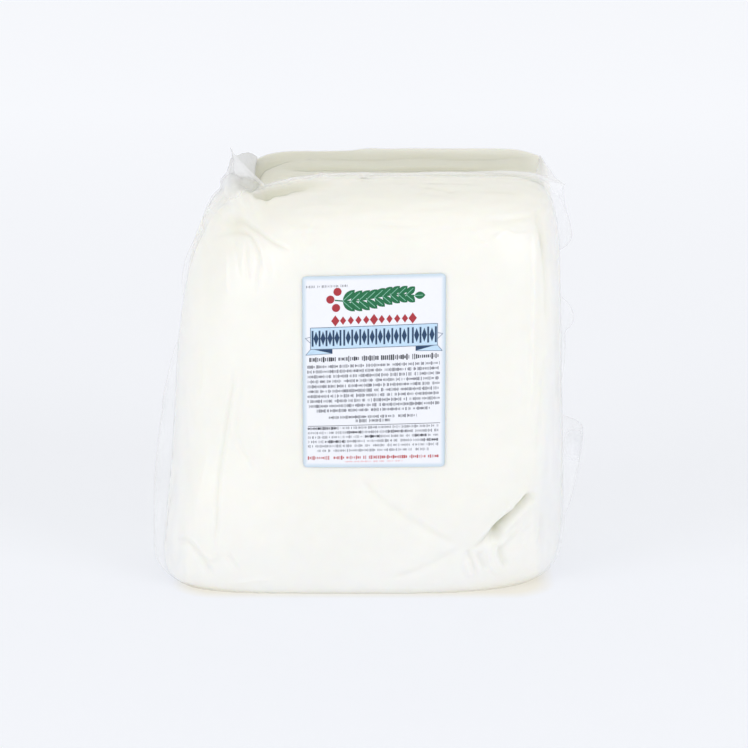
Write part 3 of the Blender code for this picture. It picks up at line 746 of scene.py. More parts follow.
def slack_sheet(name, lines, share):
    """Film over lines in space, lightly crumpled; share is how milky it is."""
    across = np.array([smooth_path(line) for line in lines])
    grid = np.array([smooth_path(line / MM) for line in np.swapaxes(across, 0, 1)])
    grid = np.swapaxes(grid, 0, 1)
    normals = np.cross(np.gradient(grid, axis=1), np.gradient(grid, axis=0))
    normals = normals / np.linalg.norm(normals, axis=2)[:, :, None]
    wave = crumple(grid.reshape(-1, 3), (9.0, 9.0, 9.0), 2.3).reshape(grid.shape[:2])
    grid = grid + normals * ((wave - 1.0) * SHEET_CRUMPLE * MM)[:, :, None]
    item = closed_sheet(name, grid - normals * SHEET_THICKNESS, grid)
    count = len(item.data.vertices)
    store(item, "slack", np.ones(count))
    store(item, "milky", np.full(count, SHEET_MILK * share))
    print(name, len(item.data.polygons), "faces")
    return item


slack_sheets = [slack_sheet("film_left_tent", LEFT_TENT, 1.0),
                slack_sheet("film_right_fan", RIGHT_FAN, 0.40)]

# %% [markdown]
# ## The label
# A sheet of paper lies on the film and follows its curve. Rays are shot at the film from the
# front, one for each point of a grid, and the sheet is laid a tenth of a millimetre in front of
# where they land. The printed shapes are draped in the same way.

# %% Label sizes and the way onto the film
LABEL_WIDTH, LABEL_HEIGHT, LABEL_CORNER = 76.0 * MM, 105.0 * MM, 2.2 * MM
LABEL_CENTRE = (5.8 * MM, 126.6 * MM)
LABEL_SKEW = (0.005, 0.024)      # its right end is higher: rise per run, foot and top
PAPER_GAP, PAPER_THICKNESS = 0.12 * MM, 0.18 * MM
PAPER_COLUMNS, PAPER_ROWS = 76, 104
SMOOTHING = 3.0 * MM             # the paper bridges wrinkles that are narrower than this


def ray_tree(item):
    return BVHTree.FromObject(item, bpy.context.evaluated_depsgraph_get())


film_tree = ray_tree(clear_film)


def depth_at(tree, x, z):
    """The surface's y at a place on the front."""
    return tree.ray_cast((x, -1.0, z), (0.0, 1.0, 0.0))[0].y


def on_label(run, rise):
    """World x and z of a place on the label, given from the label's centre."""
    skew = blend(*LABEL_SKEW, 0.5 + rise / LABEL_HEIGHT)
    return LABEL_CENTRE[0] + run, LABEL_CENTRE[1] + rise + skew * run


def film_depth(x, z):
    """The film's y, taken as the mean of a few rays, as stiff paper would lie."""
    spots = ((0, 0), (1, 0), (-1, 0), (0, 1), (0, -1))
    return sum(depth_at(film_tree, x + a * SMOOTHING, z + b * SMOOTHING) for a, b in spots) / 5


# %% The paper sheet
def label_sheet():
    half_wide, half_high = LABEL_WIDTH / 2.0, LABEL_HEIGHT / 2.0
    flat = half_high - LABEL_CORNER
    turns = [math.radians(turn) for turn in (90, 75, 60, 45, 30, 15)]
    arc = [flat + LABEL_CORNER * math.sin(turn) for turn in turns]
    rises = [-rise for rise in arc] + list(np.linspace(-flat, flat, PAPER_ROWS)) + arc[::-1]
    sides, edge = np.zeros((2, len(rises), PAPER_COLUMNS + 1, 3)), []
    for row, rise in enumerate(rises):
        past = min(max(0.0, abs(rise) - flat), LABEL_CORNER)
        half = half_wide - LABEL_CORNER + math.sqrt(LABEL_CORNER ** 2 - past ** 2)
        for column, run in enumerate(np.linspace(-half, half, PAPER_COLUMNS + 1)):
            x, z = on_label(run, rise)
            y = film_depth(x, z) - PAPER_GAP
            sides[0, row, column] = (x, y, z)
            sides[1, row, column] = (x, y - PAPER_THICKNESS, z)
            edge.append(min(half - abs(run), half_high - abs(rise)) / MM)
    item = closed_sheet("label_paper", sides[0], sides[1])
    store(item, "from_edge", edge * 2)
    return item


label_paper = label_sheet()
paper_tree = ray_tree(label_paper)
print("label, mm:", [round(side / MM, 1) for side in label_paper.dimensions])

# %% [markdown]
# ## The print
# The label is printed with a plain generic design: a sprig with leaves, a row of red lozenges, a
# pale ribbon with a chain of dark lozenges, and lines of marks in place of small print. Each
# field of ink is an outline in millimetres from the label's centre. It is filled, cut into
# strips that can follow the paper's curve, laid on the paper and given a thin edge.

# %% Lay ink on the paper
INK_THICKNESS = 0.02 * MM
INK_STRIP = 3.0 * MM             # widest strip of ink that is laid flat
PRINT_TILT = (0.012, 0.020)      # the print sits a little turned: rise per run, foot and rest


def print_place(run, rise):
    """World x and z of a printed point, given in millimetres from the label's centre."""
    tilt = blend(*PRINT_TILT, float(ramp(-46.0, -26.0, rise)))
    return on_label(run * MM, (rise + tilt * run) * MM)


def ink(name, outlines, layer):
    """One closed thin piece from outlines; a higher layer lies on top of a lower one."""
    build = bmesh.new()
    for outline in outlines:
        corners = [print_place(*corner) for corner in outline]
        build.faces.new([build.verts.new((x, 0.0, z)) for x, z in corners])
    low = np.min([vertex.co for vertex in build.verts], axis=0)
    high = np.max([vertex.co for vertex in build.verts], axis=0)
    for axis in (0, 2):
        for cut in np.arange(low[axis] + INK_STRIP, high[axis], INK_STRIP):
            place, direction = Vector((0, 0, 0)), Vector((0, 0, 0))
            place[axis], direction[axis] = cut, 1.0
            everything = build.verts[:] + build.edges[:] + build.faces[:]
            bmesh.ops.bisect_plane(build, geom=everything, plane_co=place, plane_no=direction)
    bmesh.ops.triangulate(build, faces=build.faces[:])
    for face in build.faces:
        if face.normal.y > 0.0:
            face.normal_flip()
    for vertex in build.verts:
        vertex.co.y = depth_at(paper_tree, vertex.co.x, vertex.co.z) - layer * INK_THICKNESS
    upper = bmesh.ops.extrude_face_region(build, geom=build.faces[:])["geom"]
    raised = [part for part in upper if isinstance(part, bmesh.types.BMVert)]
    bmesh.ops.translate(build, verts=raised, vec=(0.0, -INK_THICKNESS, 0.0))
    bmesh.ops.recalc_face_normals(build, faces=build.faces[:])
    mesh = bpy.data.meshes.new(name)
    build.to_mesh(mesh)
    build.free()
    print(name, len(mesh.polygons), "faces")
    return add_object(name, mesh)


# %% Outlines of simple shapes, in millimetres
DISC_SIDES, LEAF_STEPS = 14, 7


def box_outline(left, right, low, high):
    return [(left, low), (right, low), (right, high), (left, high)]


def lozenge(x, z, wide, high):
    return [(x - wide / 2, z), (x, z - high / 2), (x + wide / 2, z), (x, z + high / 2)]


def disc(x, z, radius):
    turns = np.arange(DISC_SIDES) * 2.0 * math.pi / DISC_SIDES
    return [(x + radius * math.cos(turn), z + radius * math.sin(turn)) for turn in turns]


def line_outline(start, end, wide):
    """A straight stroke between two points."""
    (x0, z0), (x1, z1) = start, end
    run = math.hypot(x1 - x0, z1 - z0)
    a, b = -(z1 - z0) / run * wide / 2, (x1 - x0) / run * wide / 2
    return [(x0 - a, z0 - b), (x1 - a, z1 - b), (x1 + a, z1 + b), (x0 + a, z0 + b)]


def leaf(x, z, turn, length, wide):
    """A pointed leaf that starts at (x, z) and points along a turn in degrees."""
    along = np.linspace(0.0, 1.0, LEAF_STEPS + 1)
    half = wide / 2 * np.sin(along * math.pi) ** 0.8
    side = [(share * length, reach) for share, reach in zip(along, half)]
    other = [(a, -reach) for a, reach in side][-2:0:-1]
    cos, sin = math.cos(math.radians(turn)), math.sin(math.radians(turn))
    return [(x + a * cos - b * sin, z + a * sin + b * cos) for a, b in side + other]


# %% [markdown]
# ### The sprig
# One sprig lies along the top of the label. Pairs of leaves leave a wavy stem, each with a pale
# rib, smaller ones towards the tip, and three red berries sit at its lower end.

# %% Leaves, ribs and berries
SPRIG_START, SPRIG_PITCH, SPRIG_PAIRS = -16.5, 4.2, 9
SPRIG_Z, SPRIG_WAVE, WAVE_RUN = 40.5, 1.3, 7.5   # the stem's height, and how it waves
LEAF_LENGTH, LEAF_WIDE, LEAF_LEAN, LEAF_SHRINK = 8.6, 4.0, 42.0, 0.035
STEM_WIDE, RIB_WIDE, RIB_REACH = 0.7, 0.28, 0.78
BERRIES = ((-2.4, 0.0), (1.4, 4.0), (0.6, -4.6))         # off the stem's foot
BERRY_RADIUS = 2.2


def stem_z(x):
    return SPRIG_Z + SPRIG_WAVE * math.sin(x / WAVE_RUN)


def sprig():
    places = [SPRIG_START + SPRIG_PITCH * number for number in range(-1, SPRIG_PAIRS + 1)]
    leaves = [line_outline((x0, stem_z(x0)), (x1, stem_z(x1)), STEM_WIDE)
              for x0, x1 in zip(places, places[1:])]
    turned = [(x, lean, number) for number, x in enumerate(places[1:-1])
              for lean in (LEAF_LEAN, -LEAF_LEAN)] + [(places[-1], 0.0, SPRIG_PAIRS)]
    ribs = []
    for x, lean, number in turned:
        length = LEAF_LENGTH * (1.0 - LEAF_SHRINK * number)
        leaves.append(leaf(x, stem_z(x), lean, length, LEAF_WIDE))
        reach, turn = RIB_REACH * length, math.radians(lean)
        tip = (x + reach * math.cos(turn), stem_z(x) + reach * math.sin(turn))
        ribs.append(line_outline((x, stem_z(x)), tip, RIB_WIDE))
    berries = [disc(places[0] + x, SPRIG_Z + z, BERRY_RADIUS) for x, z in BERRIES]
    return leaves, ribs, berries


leaf_outlines, rib_outlines, berry_outlines = sprig()
print_green = ink("print_leaves", leaf_outlines, 1)
print_ribs = ink("print_leaf_ribs", rib_outlines, 2)

# %% [markdown]
# ### The red row and the ribbon
# An even row of lozenges, larger at its middle and ends, stands over a pale ribbon with a thin
# outline. The ribbon's ends are folded behind it, which shows as a dark triangle and a tail.

# %% Red row
RED_ROW_Z = 28.9
RED_LARGE, RED_SMALL, RED_PITCH = (4.4, 6.0), (3.3, 4.6), 4.1
red_outlines = [lozenge(RED_PITCH * number, RED_ROW_Z, *(RED_SMALL if number % 5 else RED_LARGE))
                for number in range(-5, 6)]
print_red = ink("print_red_row", red_outlines + berry_outlines, 2)

# %% Ribbon
RIBBON = (-33.7, 33.7, 13.75, 25.45)     # left, right, low, high
LINE_WIDE = 0.34
TAIL_RUN, TAIL_DROP = 11.6, 2.6          # how far the folded end reaches back, and hangs down


def ribbon():
    _, right, low, high = RIBBON
    corners = box_outline(*RIBBON)
    lines = [line_outline(start, end, LINE_WIDE)
             for start, end in zip(corners, corners[1:] + corners[:1])]
    tails, shadows = [], []
    for side in (-1.0, 1.0):
        end = right * side
        back, foot = end - TAIL_RUN * side, low - TAIL_DROP
        tail = [(end, low), (end + 2.6 * side, low - 3.1), (back, foot), (back, low)]
        tails.append(tail)
        shadows.append([(end - 1.6 * side, low - 0.1), (back, low - 0.1), (back, foot)])
        notch = [(end, high - 5.0), (end + 2.8 * side, high - 5.6), (end, high - 8.3)]
        for path in (tail[:3], notch):
            for start, stop in zip(path, path[1:]):
                lines.append(line_outline(start, stop, 0.8 * LINE_WIDE))
    return [corners] + tails, shadows, lines


ribbon_fields, ribbon_shadows, ribbon_lines = ribbon()
print_ribbon = ink("print_ribbon", ribbon_fields, 1)
print_outline = ink("print_ribbon_outline", ribbon_lines, 3)

# %% Chain on the ribbon
CHAIN_GROUPS = ((-32.6, -17.8), (-15.8, 18.2), (20.6, 32.8))
CHAIN_PITCH = 4.2
CHAIN_HEIGHT, BAR_WIDE, LINK_WIDE = 8.6, 1.0, 2.7


def chain():
    middle = (RIBBON[2] + RIBBON[3]) / 2.0

    def bar(x):
        return box_outline(x - BAR_WIDE / 2, x + BAR_WIDE / 2, middle - CHAIN_HEIGHT / 2,
                           middle + CHAIN_HEIGHT / 2)

    shapes = []
    for start, end in CHAIN_GROUPS:
        count = round((end - start) / CHAIN_PITCH)
        pitch = (end - start) / count
        for number in range(count):
            x = start + (number + 0.5) * pitch
            shapes += [lozenge(x, middle, LINK_WIDE, CHAIN_HEIGHT * 0.9), bar(x - pitch / 2.0)]
        shapes.append(bar(end))
    return shapes


print_navy = ink("print_ribbon_chain", chain() + ribbon_shadows, 2)

# %% [markdown]
# ### Small print
# Real small print is too fine to read from a step away: it is a grey texture of short strokes in
# rows. So it is made as that. A Geometry Nodes tree takes one straight edge for each row, sets a
# point at every letter's place, drops some for the gaps between words, stands a small mark of a
# random kind and height on each, and lays the marks on the paper by a ray.

# %% Node helpers
def feed(node, inputs):
    """Give a node's inputs plain values, or link them to other nodes' outputs."""
    for name, value in inputs.items():
        if isinstance(value, bpy.types.NodeSocket):
            node.id_data.links.new(value, node.inputs[name])
        else:
            node.inputs[name].default_value = value


def add_node(tree, kind, inputs=None, **settings):
    """A node with its settings and its inputs, which go by name or number."""
    node = tree.nodes.new(kind)
    for name, value in settings.items():
        setattr(node, name, value)
    feed(node, inputs or {})
    return node


def maths(tree, operation, *values, kind="ShaderNodeMath", **settings):
    node = add_node(tree, kind, dict(enumerate(values)), operation=operation, **settings)
    return node.outputs[0]


def group_ends(tree, inputs, output, kind):
    """Make a group's sockets, and give its inputs and the node that takes its one output."""
    for name, socket in inputs.items():
        tree.interface.new_socket(name, in_out="INPUT", socket_type="NodeSocket" + socket)
    tree.interface.new_socket(output, in_out="OUTPUT", socket_type="NodeSocket" + kind)
    return tree.nodes.new("NodeGroupInput").outputs, tree.nodes.new("NodeGroupOutput")


# %% The tree that prints rows of marks
MARK_WIDE, MARK_HIGH = (0.7, 1.9), (0.55, 1.25)  # the marks' spread, as shares of their sizes


def print_tree():
    tree = bpy.data.node_groups.new("rows_of_print", "GeometryNodeTree")
    given, end = group_ends(tree, {
        "Geometry": "Geometry", "Letter Pitch": "Float", "Letter Height": "Float",
        "Stroke": "Float", "Gap Share": "Float", "Lift": "Float", "Seed": "Int",
        "Paper": "Object", "Material": "Material"}, "Geometry", "Geometry")

    def drawn(spread, seed):
        return add_node(tree, "FunctionNodeRandomValue",
                        {2: spread[0], 3: spread[1], "Seed": seed}, data_type="FLOAT").outputs[1]

    # a point at each letter's place, but for the gaps between words
    rows = add_node(tree, "GeometryNodeMeshToCurve", {"Mesh": given["Geometry"]})
    points = add_node(tree, "GeometryNodeCurveToPoints", {
        "Curve": rows.outputs["Curve"], "Length": given["Letter Pitch"]}, mode="LENGTH")
    gap = add_node(tree, "FunctionNodeRandomValue", {
        "Probability": given["Gap Share"], "Seed": given["Seed"]}, data_type="BOOLEAN")
    words = add_node(tree, "GeometryNodeDeleteGeometry", {
        "Geometry": points.outputs["Points"], "Selection": gap.outputs["Value"]}, domain="POINT")

    # a mark on each point
    mark = add_node(tree, "GeometryNodeMeshCube", {"Size": (1.0, INK_THICKNESS, 1.0)})
    wide = maths(tree, "MULTIPLY", drawn(MARK_WIDE, given["Seed"]), given["Stroke"])
    other_seed = maths(tree, "ADD", given["Seed"], 7.0)
    high = maths(tree, "MULTIPLY", drawn(MARK_HIGH, other_seed), given["Letter Height"])
    shape = add_node(tree, "ShaderNodeCombineXYZ", {"X": wide, "Y": 1.0, "Z": high})
    stand = add_node(tree, "GeometryNodeInstanceOnPoints", {
        "Points": words.outputs["Geometry"], "Instance": mark.outputs["Mesh"],
        "Scale": shape.outputs["Vector"]})
    real = add_node(tree, "GeometryNodeRealizeInstances", {"Geometry": stand.outputs["Instances"]})

    # a ray from the front lays each mark on the paper
    place = add_node(tree, "GeometryNodeInputPosition").outputs[0]
    apart = add_node(tree, "ShaderNodeSeparateXYZ", {0: place}).outputs
    start = add_node(tree, "ShaderNodeCombineXYZ", {"X": apart["X"], "Y": -1.0, "Z": apart["Z"]})
    paper = add_node(tree, "GeometryNodeObjectInfo", {"Object": given["Paper"]})
    ray = add_node(tree, "GeometryNodeRaycast", {
        "Target Geometry": paper.outputs["Geometry"], "Source Position": start.outputs[0],
        "Ray Direction": (0.0, 1.0, 0.0), "Ray Length": 2.0})
    landed = add_node(tree, "ShaderNodeSeparateXYZ", {0: ray.outputs["Hit Position"]})
    lifted = maths(tree, "SUBTRACT", landed.outputs["Y"], given["Lift"])
    deep = maths(tree, "ADD", lifted, apart["Y"])
    final = add_node(tree, "ShaderNodeCombineXYZ", {"X": apart["X"], "Y": deep, "Z": apart["Z"]})
    drape = add_node(tree, "GeometryNodeSetPosition", {
        "Geometry": real.outputs["Geometry"], "Position": final.outputs[0]})
    finish = add_node(tree, "GeometryNodeSetMaterial", {
        "Geometry": drape.outputs["Geometry"], "Material": given["Material"]})
    feed(end, {0: finish.outputs["Geometry"]})
    return tree


rows_of_print = print_tree()


# %% Print some rows
def print_rows(name, rows, pitch, height, stroke, gap, seed, material):
    """rows: (left, right, z) in millimetres from the label's centre."""
    ends = [print_place(run, z) for left, right, z in rows for run in (left, right)]
    edges = [(2 * number, 2 * number + 1) for number in range(len(rows))]
    mesh = new_mesh(name, [(x, 0.0, z) for x, z in ends], [], edges)
    item = add_object(name, mesh)
    modifier = item.modifiers.new("print", "NODES")
    modifier.node_group = rows_of_print
    values = {"Letter Pitch": pitch * MM, "Letter Height": height * MM, "Stroke": stroke * MM,
              "Gap Share": gap, "Lift": 1.5 * INK_THICKNESS, "Seed": seed, "Paper": label_paper,
              "Material": material}
    for socket in rows_of_print.interface.items_tree:
        if socket.in_out == "INPUT" and socket.name in values:
            modifier[socket.identifier] = values[socket.name]
    evaluated = item.evaluated_get(bpy.context.evaluated_depsgraph_get())
    plain = bpy.data.meshes.new_from_object(evaluated)
    item.modifiers.remove(modifier)
    item.data = plain
    print(name, len(plain.polygons), "faces")
    return item


# %% [markdown]
# ## Materials
# Every finish here is near white, so each one lives on small differences. The curd is a warm
# ivory that lets light in a little. Its colour carries painted shade, darker and warmer, where it
# is pressed into folds and in the hollows of the top, and it is cooler where the film stands off
# it. The film is clear where it clings and milky where it is slack. One node group gives a soft
# unevenness to all of them: two noises of different size, as a value around 1.

# %% A shared group: unevenness
FINER = 5.3                      # how much smaller the second noise is


def uneven_group():
    tree = bpy.data.node_groups.new("uneven", "ShaderNodeTree")
    given, end = group_ends(tree, {"Size": "Float", "Amount": "Float"}, "Value", "Float")
    place = add_node(tree, "ShaderNodeTexCoord").outputs["Object"]
    broad = add_node(tree, "ShaderNodeTexNoise", {
        "Vector": place, "Scale": given["Size"], "Detail": 2.0})
    fine = add_node(tree, "ShaderNodeTexNoise", {
        "Vector": place, "Scale": maths(tree, "MULTIPLY", given["Size"], FINER), "Detail": 3.0})
    both = maths(tree, "ADD", broad.outputs["Fac"], fine.outputs["Fac"])
    centred = maths(tree, "SUBTRACT", both, 1.0)
    feed(end, {"Value": maths(tree, "MULTIPLY_ADD", centred, given["Amount"], 1.0)})
    return tree


uneven = uneven_group()


# %% Material helpers
def new_material(name):
    material = bpy.data.materials.new(name)
    material.use_nodes = True
    return material, material.node_tree, material.node_tree.nodes["Principled BSDF"]


def linear(red, green, blue):
    """A colour given as 8-bit screen values, as Blender's linear colour."""
    shares = [value / 255.0 for value in (red, green, blue)]
    curve = [share / 12.92 if share < 0.04045 else ((share + 0.055) / 1.055) ** 2.4
             for share in shares]
    return (*curve, 1.0)


def attribute(tree, name):
    return add_node(tree, "ShaderNodeAttribute", attribute_name=name).outputs["Fac"]


def mapped(tree, value, spread=(0.0, 1.0), to=(0.0, 1.0), **settings):
    """A value mapped from one spread to another, and held between its ends."""
    return add_node(tree, "ShaderNodeMapRange", {
        "Value": value, "From Min": spread[0], "From Max": spread[1], "To Min": to[0],
        "To Max": to[1]}, **settings).outputs["Result"]


def mixed(tree, share, first, second, blend="MIX"):
    return add_node(tree, "ShaderNodeMix", {0: share, 6: first, 7: second}, data_type="RGBA",
                    blend_type=blend).outputs[2]


def uneven_value(tree, size, amount):
    return add_node(tree, "ShaderNodeGroup", {"Size": size, "Amount": amount},
                    node_tree=uneven).outputs["Value"]


def mottled(tree, colour, size, amount):
    """A colour that is a little uneven in strength."""
    return mixed(tree, 1.0, colour, uneven_value(tree, size, amount), "MULTIPLY")


def grained(tree, scale, detail, strength, distance):
    """The normals of a finely grained surface."""
    place = add_node(tree, "ShaderNodeTexCoord").outputs["Object"]
    grain = add_node(tree, "ShaderNodeTexNoise", {
        "Vector": place, "Scale": scale, "Detail": detail})
    return add_node(tree, "ShaderNodeBump", {
        "Strength": strength, "Distance": distance,
        "Height": grain.outputs["Fac"]}).outputs["Normal"]


# %% Curd
CURD_COLOUR = linear(251, 250, 240)
CURD_PAINTED_SHADE = linear(207, 206, 180)        # painted shade, darker and warmer, in folds and in the hollows of the top
CURD_VEILED = linear(244, 245, 244)      # where the film stands a hair off it
PAINTED_SHADE_DEPTHS = (0.3, 6.3)               # mm pressed in, from no painted shade to the full one


def curd_material():
    material, tree, shader = new_material("ivory_curd")
    # painted shade: the colour darkens and warms with the depth of folds and in the top's hollows
    depth = mapped(tree, attribute(tree, "pressed"), PAINTED_SHADE_DEPTHS)
    colour = mixed(tree, depth, CURD_COLOUR, CURD_PAINTED_SHADE)
    colour = mixed(tree, attribute(tree, "milky"), colour, CURD_VEILED)
    feed(shader, {
        "Base Color": mottled(tree, colour, 26.0, 0.05), "Roughness": 0.42, "Coat Weight": 0.18,
        "Coat Roughness": 0.30, "Subsurface Weight": 0.25, "Subsurface Scale": 3.0 * MM,
        "Subsurface Radius": (1.0, 0.75, 0.45),
        "Normal": grained(tree, 240.0, 4.0, 0.25, 0.4 * MM)})
    return material


# %% Film
FILM_TINT = linear(250, 251, 253)
HAZE = (0.05, 0.225)                     # how milky one ply is where it clings and where slack
CRINKLE = (0.10, 0.40)                   # and how strongly it is crinkled
FILM_SHINE = 0.10                        # share of a clear film's reflection that is kept


def film_material():
    material, tree, shader = new_material("clear_film")
    place = add_node(tree, "ShaderNodeTexCoord").outputs["Object"]
    drawn = add_node(tree, "ShaderNodeMapping", {
        "Vector": place, "Rotation": (0.0, 0.3, 0.0), "Scale": (1.0, 1.0, 0.16)})
    crinkle = add_node(tree, "ShaderNodeTexNoise", {
        "Vector": drawn.outputs["Vector"], "Scale": 110.0, "Detail": 4.0, "Roughness": 0.55},
        noise_type="RIDGED_MULTIFRACTAL")
    normal = add_node(tree, "ShaderNodeBump", {
        "Strength": mapped(tree, attribute(tree, "slack"), to=CRINKLE),
        "Distance": 0.5 * MM, "Height": crinkle.outputs["Fac"]}).outputs["Normal"]
    feed(shader, {"Base Color": FILM_TINT, "Roughness": 0.45, "Normal": normal})

    haze = mapped(tree, attribute(tree, "milky"), to=HAZE, clamp=False)
    haze = maths(tree, "MULTIPLY", haze, uneven_value(tree, 60.0, 0.2), use_clamp=True)
    clear = add_node(tree, "ShaderNodeBsdfTransparent")
    body = add_node(tree, "ShaderNodeMixShader", {
        0: haze, 1: clear.outputs["BSDF"], 2: shader.outputs["BSDF"]})
    edge_on = add_node(tree, "ShaderNodeFresnel", {"IOR": 1.40})
    shine = maths(tree, "MULTIPLY", edge_on.outputs["Fac"], FILM_SHINE)
    gloss = add_node(tree, "ShaderNodeBsdfGlossy", {"Roughness": 0.22, "Normal": normal})
    both = add_node(tree, "ShaderNodeMixShader", {
        0: shine, 1: body.outputs["Shader"], 2: gloss.outputs["BSDF"]})
    feed(tree.nodes["Material Output"], {"Surface": both.outputs["Shader"]})
    return material


# %% Paper
PAPER_WHITE = linear(241, 243, 248)
PAPER_BORDER = linear(205, 221, 232)
BORDER_FADE = (0.45, 2.85)               # the blue border fades between these distances, in mm


def paper_material():
    material, tree, shader = new_material("label_paper")
    inwards = mapped(tree, attribute(tree, "from_edge"), BORDER_FADE,
                     interpolation_type="SMOOTHSTEP")
    colour = mixed(tree, inwards, PAPER_BORDER, PAPER_WHITE)
    feed(shader, {
        "Base Color": mottled(tree, colour, 90.0, 0.03), "Roughness": 0.38, "Coat Weight": 0.3,
        "Coat Roughness": 0.25, "Normal": grained(tree, 900.0, 3.0, 0.15, 0.05 * MM)})
    return material


# %% Inks
def ink_material(name, colour):
    """Printed ink: one colour whose density varies a little."""
    material, tree, shader = new_material(name)
    feed(shader, {"Base Color": mottled(tree, colour, 300.0, 0.16), "Roughness": 0.40})
    return material


INKS = {
    "leaf_green": (14, 108, 64), "rib_green": (140, 205, 178), "berry_red": (172, 44, 54),
    "ribbon_blue": (196, 223, 243), "outline_grey": (104, 124, 148), "navy": (28, 62, 98),
    "text_grey": (74, 76, 86), "text_dark": (36, 38, 48), "text_red": (186, 60, 62),
    "text_pink": (226, 150, 150),
}
inks = {name: ink_material(name, linear(*colour)) for name, colour in INKS.items()}
curd_block.data.materials.append(curd_material())
film = film_material()
for item in [clear_film] + slack_sheets:
    item.data.materials.append(film)
label_paper.data.materials.append(paper_material())
for item, name in ((print_green, "leaf_green"), (print_ribs, "rib_green"),
                   (print_red, "berry_red"), (print_ribbon, "ribbon_blue"),
                   (print_outline, "outline_grey"), (print_navy, "navy")):
    item.data.materials.append(inks[name])

# %% [markdown]
# ### Setting the rows
# The rows stand where small print stands on such a label: a tiny line at the top left, a bold
# heading, nine full lines and a centred one, a few short lines, a rule, a block of finer print
# and a red line at the foot.

# %% Rows of small print
BODY_ROWS = [(-35.2, 34.8, 4.06 - 2.726 * number) for number in range(9)]
BODY_ROWS += [(-31.0, 29.5, -20.4), (6.0, 22.8, -24.2), (-9.6, 8.4, -26.4)]
FINE_ROWS = [(-35.2, 34.2, -30.2 - 2.52 * number) for number in range(5)] + [(-31.0, 29.0, -42.9)]
BOLD_ROWS = [(-23.9, 5.0, -24.2), (-35.2, -20.0, -30.2), (-15.5, -7.2, -32.7),
             (7.8, 16.8, -32.7), (-4.5, 3.0, -35.2), (19.8, 27.5, -35.2),
             (-25.8, -15.4, -37.8), (26.2, 33.8, -37.8)]
PRINTS = (                       # name, rows; pitch, height, stroke; gap share, seed; ink
    ("print_body", BODY_ROWS, 0.60, 1.55, 0.24, 0.14, 3, "text_grey"),
    ("print_fine", FINE_ROWS, 0.56, 1.35, 0.18, 0.16, 5, "text_grey"),
    ("print_bold", BOLD_ROWS, 0.66, 1.45, 0.27, 0.12, 9, "text_dark"),
    ("print_heading", [(-34.0, 34.0, 8.0)], 1.02, 2.6, 0.50, 0.10, 12, "text_dark"),
    ("print_top_line", [(-35.6, -14.2, 47.6)], 0.80, 1.2, 0.20, 0.10, 4, "text_dark"),
    ("print_foot_line", [(-35.2, 34.2, -46.9)], 0.98, 1.8, 0.42, 0.12, 6, "text_red"),
    ("print_foot_small", [(-15.5, 15.0, -49.2)], 0.60, 0.8, 0.18, 0.15, 8, "text_pink"),
)
small_print = [print_rows(*sizes, inks[ink_name]) for *sizes, ink_name in PRINTS]
print_rule = ink("print_rule", [line_outline((-35.3, -28.8), (35.3, -28.8), 0.28)], 2)
print_rule.data.materials.append(inks["text_grey"])

# %% [markdown]
# ## Join the pieces to the frame
# Every piece rides on the pack's one body. The curd and the film together stand for the solid
# bag, and the paper stands for the solid label.

# %% Ride on the body, and hide the imported bag and label
inked = [print_green, print_ribs, print_red, print_ribbon, print_outline, print_navy, print_rule]
for piece in [curd_block, clear_film, label_paper] + slack_sheets + inked + small_print:
    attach(piece, "root")
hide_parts("sealed_bag")
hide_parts("sealed_bag")
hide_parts("label")

# %% [markdown]
# ## Floor, light and camera
# The pack stands in a light tent: a pale cool floor, a softbox at each side, a low one in front,
# and a soft fill from all round. Close to the foot the floor has a painted warm shade, which
# stands for the contact shadow and for light that has passed through the curd. The camera looks
# down on it by about 14 degrees from 1.45 m away.

# %% Floor
FLOOR_COLOUR, FLOOR_LIGHT = linear(170, 173, 180), linear(239, 240, 243)
FLOOR_GLOW, GLOW_SPREAD = (0.55, 0.66), (0.1, 1.6)   # near and far: its strength, and where, in m
FOOT_HALF = (0.080, 0.050, 0.0)          # half sizes of the foot, within its rounding
FOOT_SHADE_RIM = (26.0 * MM, 15.6 * MM)        # beyond them the painted warm shade begins, and is full
FOOT_PAINTED_SHADE = (0.97, 0.92, 0.80)           # painted warm shade: a contact shadow, warmed as by light that has passed through curd
VECTOR = "ShaderNodeVectorMath"


def foot_shade_mask(tree, place):
    """Painted shade on the floor: 1 at the foot's edge, falling to 0 over the width of its warm
    rim.
    """
    flat = maths(tree, "ABSOLUTE", place, kind=VECTOR)
    beyond = maths(tree, "SUBTRACT", flat, FOOT_HALF, kind=VECTOR)
    outside = maths(tree, "MAXIMUM", beyond, (0.0, 0.0, 0.0), kind=VECTOR)
    away = add_node(tree, VECTOR, {0: outside}, operation="LENGTH").outputs["Value"]
    return mapped(tree, away, FOOT_SHADE_RIM)


def studio_floor():
    bpy.ops.mesh.primitive_plane_add(size=14.0)
    floor = bpy.context.object
    floor.name = "studio_floor"
    material, tree, shader = new_material("pale_floor")
    place = add_node(tree, "ShaderNodeTexCoord").outputs["Object"]
    apart = add_node(tree, "ShaderNodeSeparateXYZ", {0: place}).outputs
    # painted shade on the floor round the foot: darker and warmer close to it
    rim = foot_shade_mask(tree, place)
    feed(shader, {"Roughness": 0.8,
                  "Emission Strength": mapped(tree, apart["Y"], GLOW_SPREAD, FLOOR_GLOW)})
    # the painted shade darkens both the floor's colour and its glow
    for name, colour in (("Base Color", FLOOR_COLOUR), ("Emission Color", FLOOR_LIGHT)):
        warm = (*(share * tint for share, tint in zip(colour, FOOT_PAINTED_SHADE)), 1.0)
        feed(shader, {name: mixed(tree, rim, colour, warm)})
    floor.data.materials.append(material)


studio_floor()


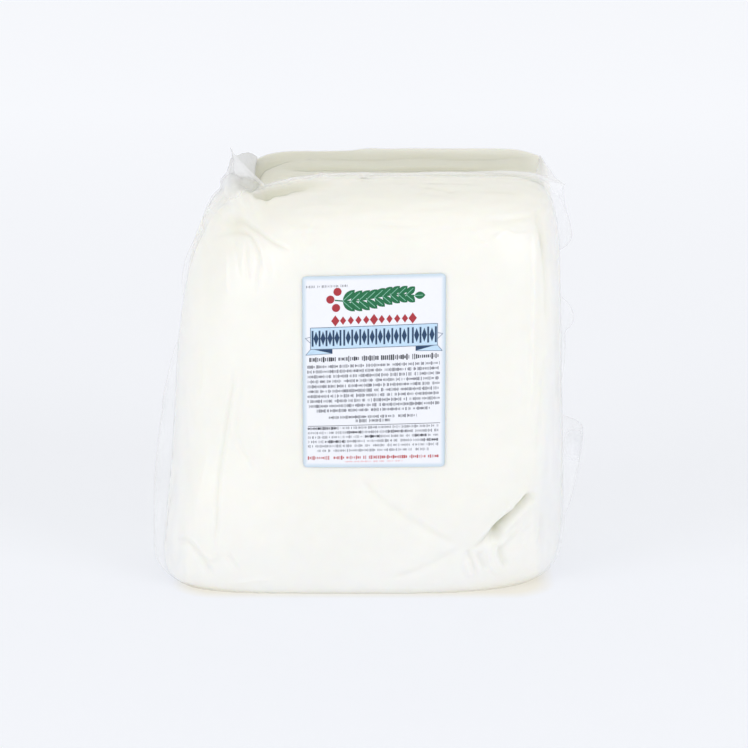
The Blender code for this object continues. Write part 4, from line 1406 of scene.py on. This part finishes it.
# %% Light
LIGHTS = (                       # name, place, target, size, power
    ("left_softbox", (-1.55, -1.15, 0.85), (0.0, 0.0, 0.11), (1.2, 1.0), 11.6),
    ("right_softbox", (1.45, -1.25, 0.95), (0.0, 0.0, 0.11), (1.0, 0.9), 11.8),
    ("front_softbox", (-0.15, -2.2, 0.14), (0.0, 0.0, 0.07), (1.8, 0.26), 1.15),
)
for name, place, target, size, power in LIGHTS:
    data = bpy.data.lights.new(name, "AREA")
    data.shape = "RECTANGLE"
    data.size, data.size_y = size
    data.energy = power
    lamp = add_object(name, data)
    lamp.location = place
    direction = Vector(target) - Vector(place)
    lamp.rotation_euler = direction.to_track_quat("-Z", "Y").to_euler()


# %% The tent
TENT_WALLS = (0.34, 0.34, 0.44, 1.0)     # radiance in front and at the sides
TENT_BACK = (1.02, 1.02, 1.00, 1.0)
TENT_ROOF = (0.87, 0.86, 0.80, 1.0)


def tent():
    world = bpy.data.worlds.new("tent")
    world.use_nodes = True
    tree = world.node_tree
    place = add_node(tree, "ShaderNodeTexCoord").outputs["Generated"]
    apart = add_node(tree, "ShaderNodeSeparateXYZ", {0: place}).outputs
    around = mixed(tree, apart["Y"], TENT_WALLS, TENT_BACK)
    feed(tree.nodes["Background"], {"Color": mixed(tree, apart["Z"], around, TENT_ROOF)})
    bpy.context.scene.world = world


tent()

# %% Camera
CAMERA_RISE, CAMERA_AWAY, CAMERA_LENS = math.radians(14.5), 1.45, 131.1
LOOK_AT = Vector((5.8 * MM, -HALF_DEPTH, 125.8 * MM))

data = bpy.data.cameras.new("camera")
data.lens, data.sensor_width = CAMERA_LENS, 36.0
data.dof.use_dof = False
camera = add_object("camera", data)
backwards = Vector((0.0, -math.cos(CAMERA_RISE), math.sin(CAMERA_RISE)))
camera.location = LOOK_AT + backwards * CAMERA_AWAY
camera.rotation_euler = (math.pi / 2.0 - CAMERA_RISE, 0.0, 0.0)
bpy.context.scene.camera = camera
bpy.context.scene.view_settings.view_transform = "Standard"
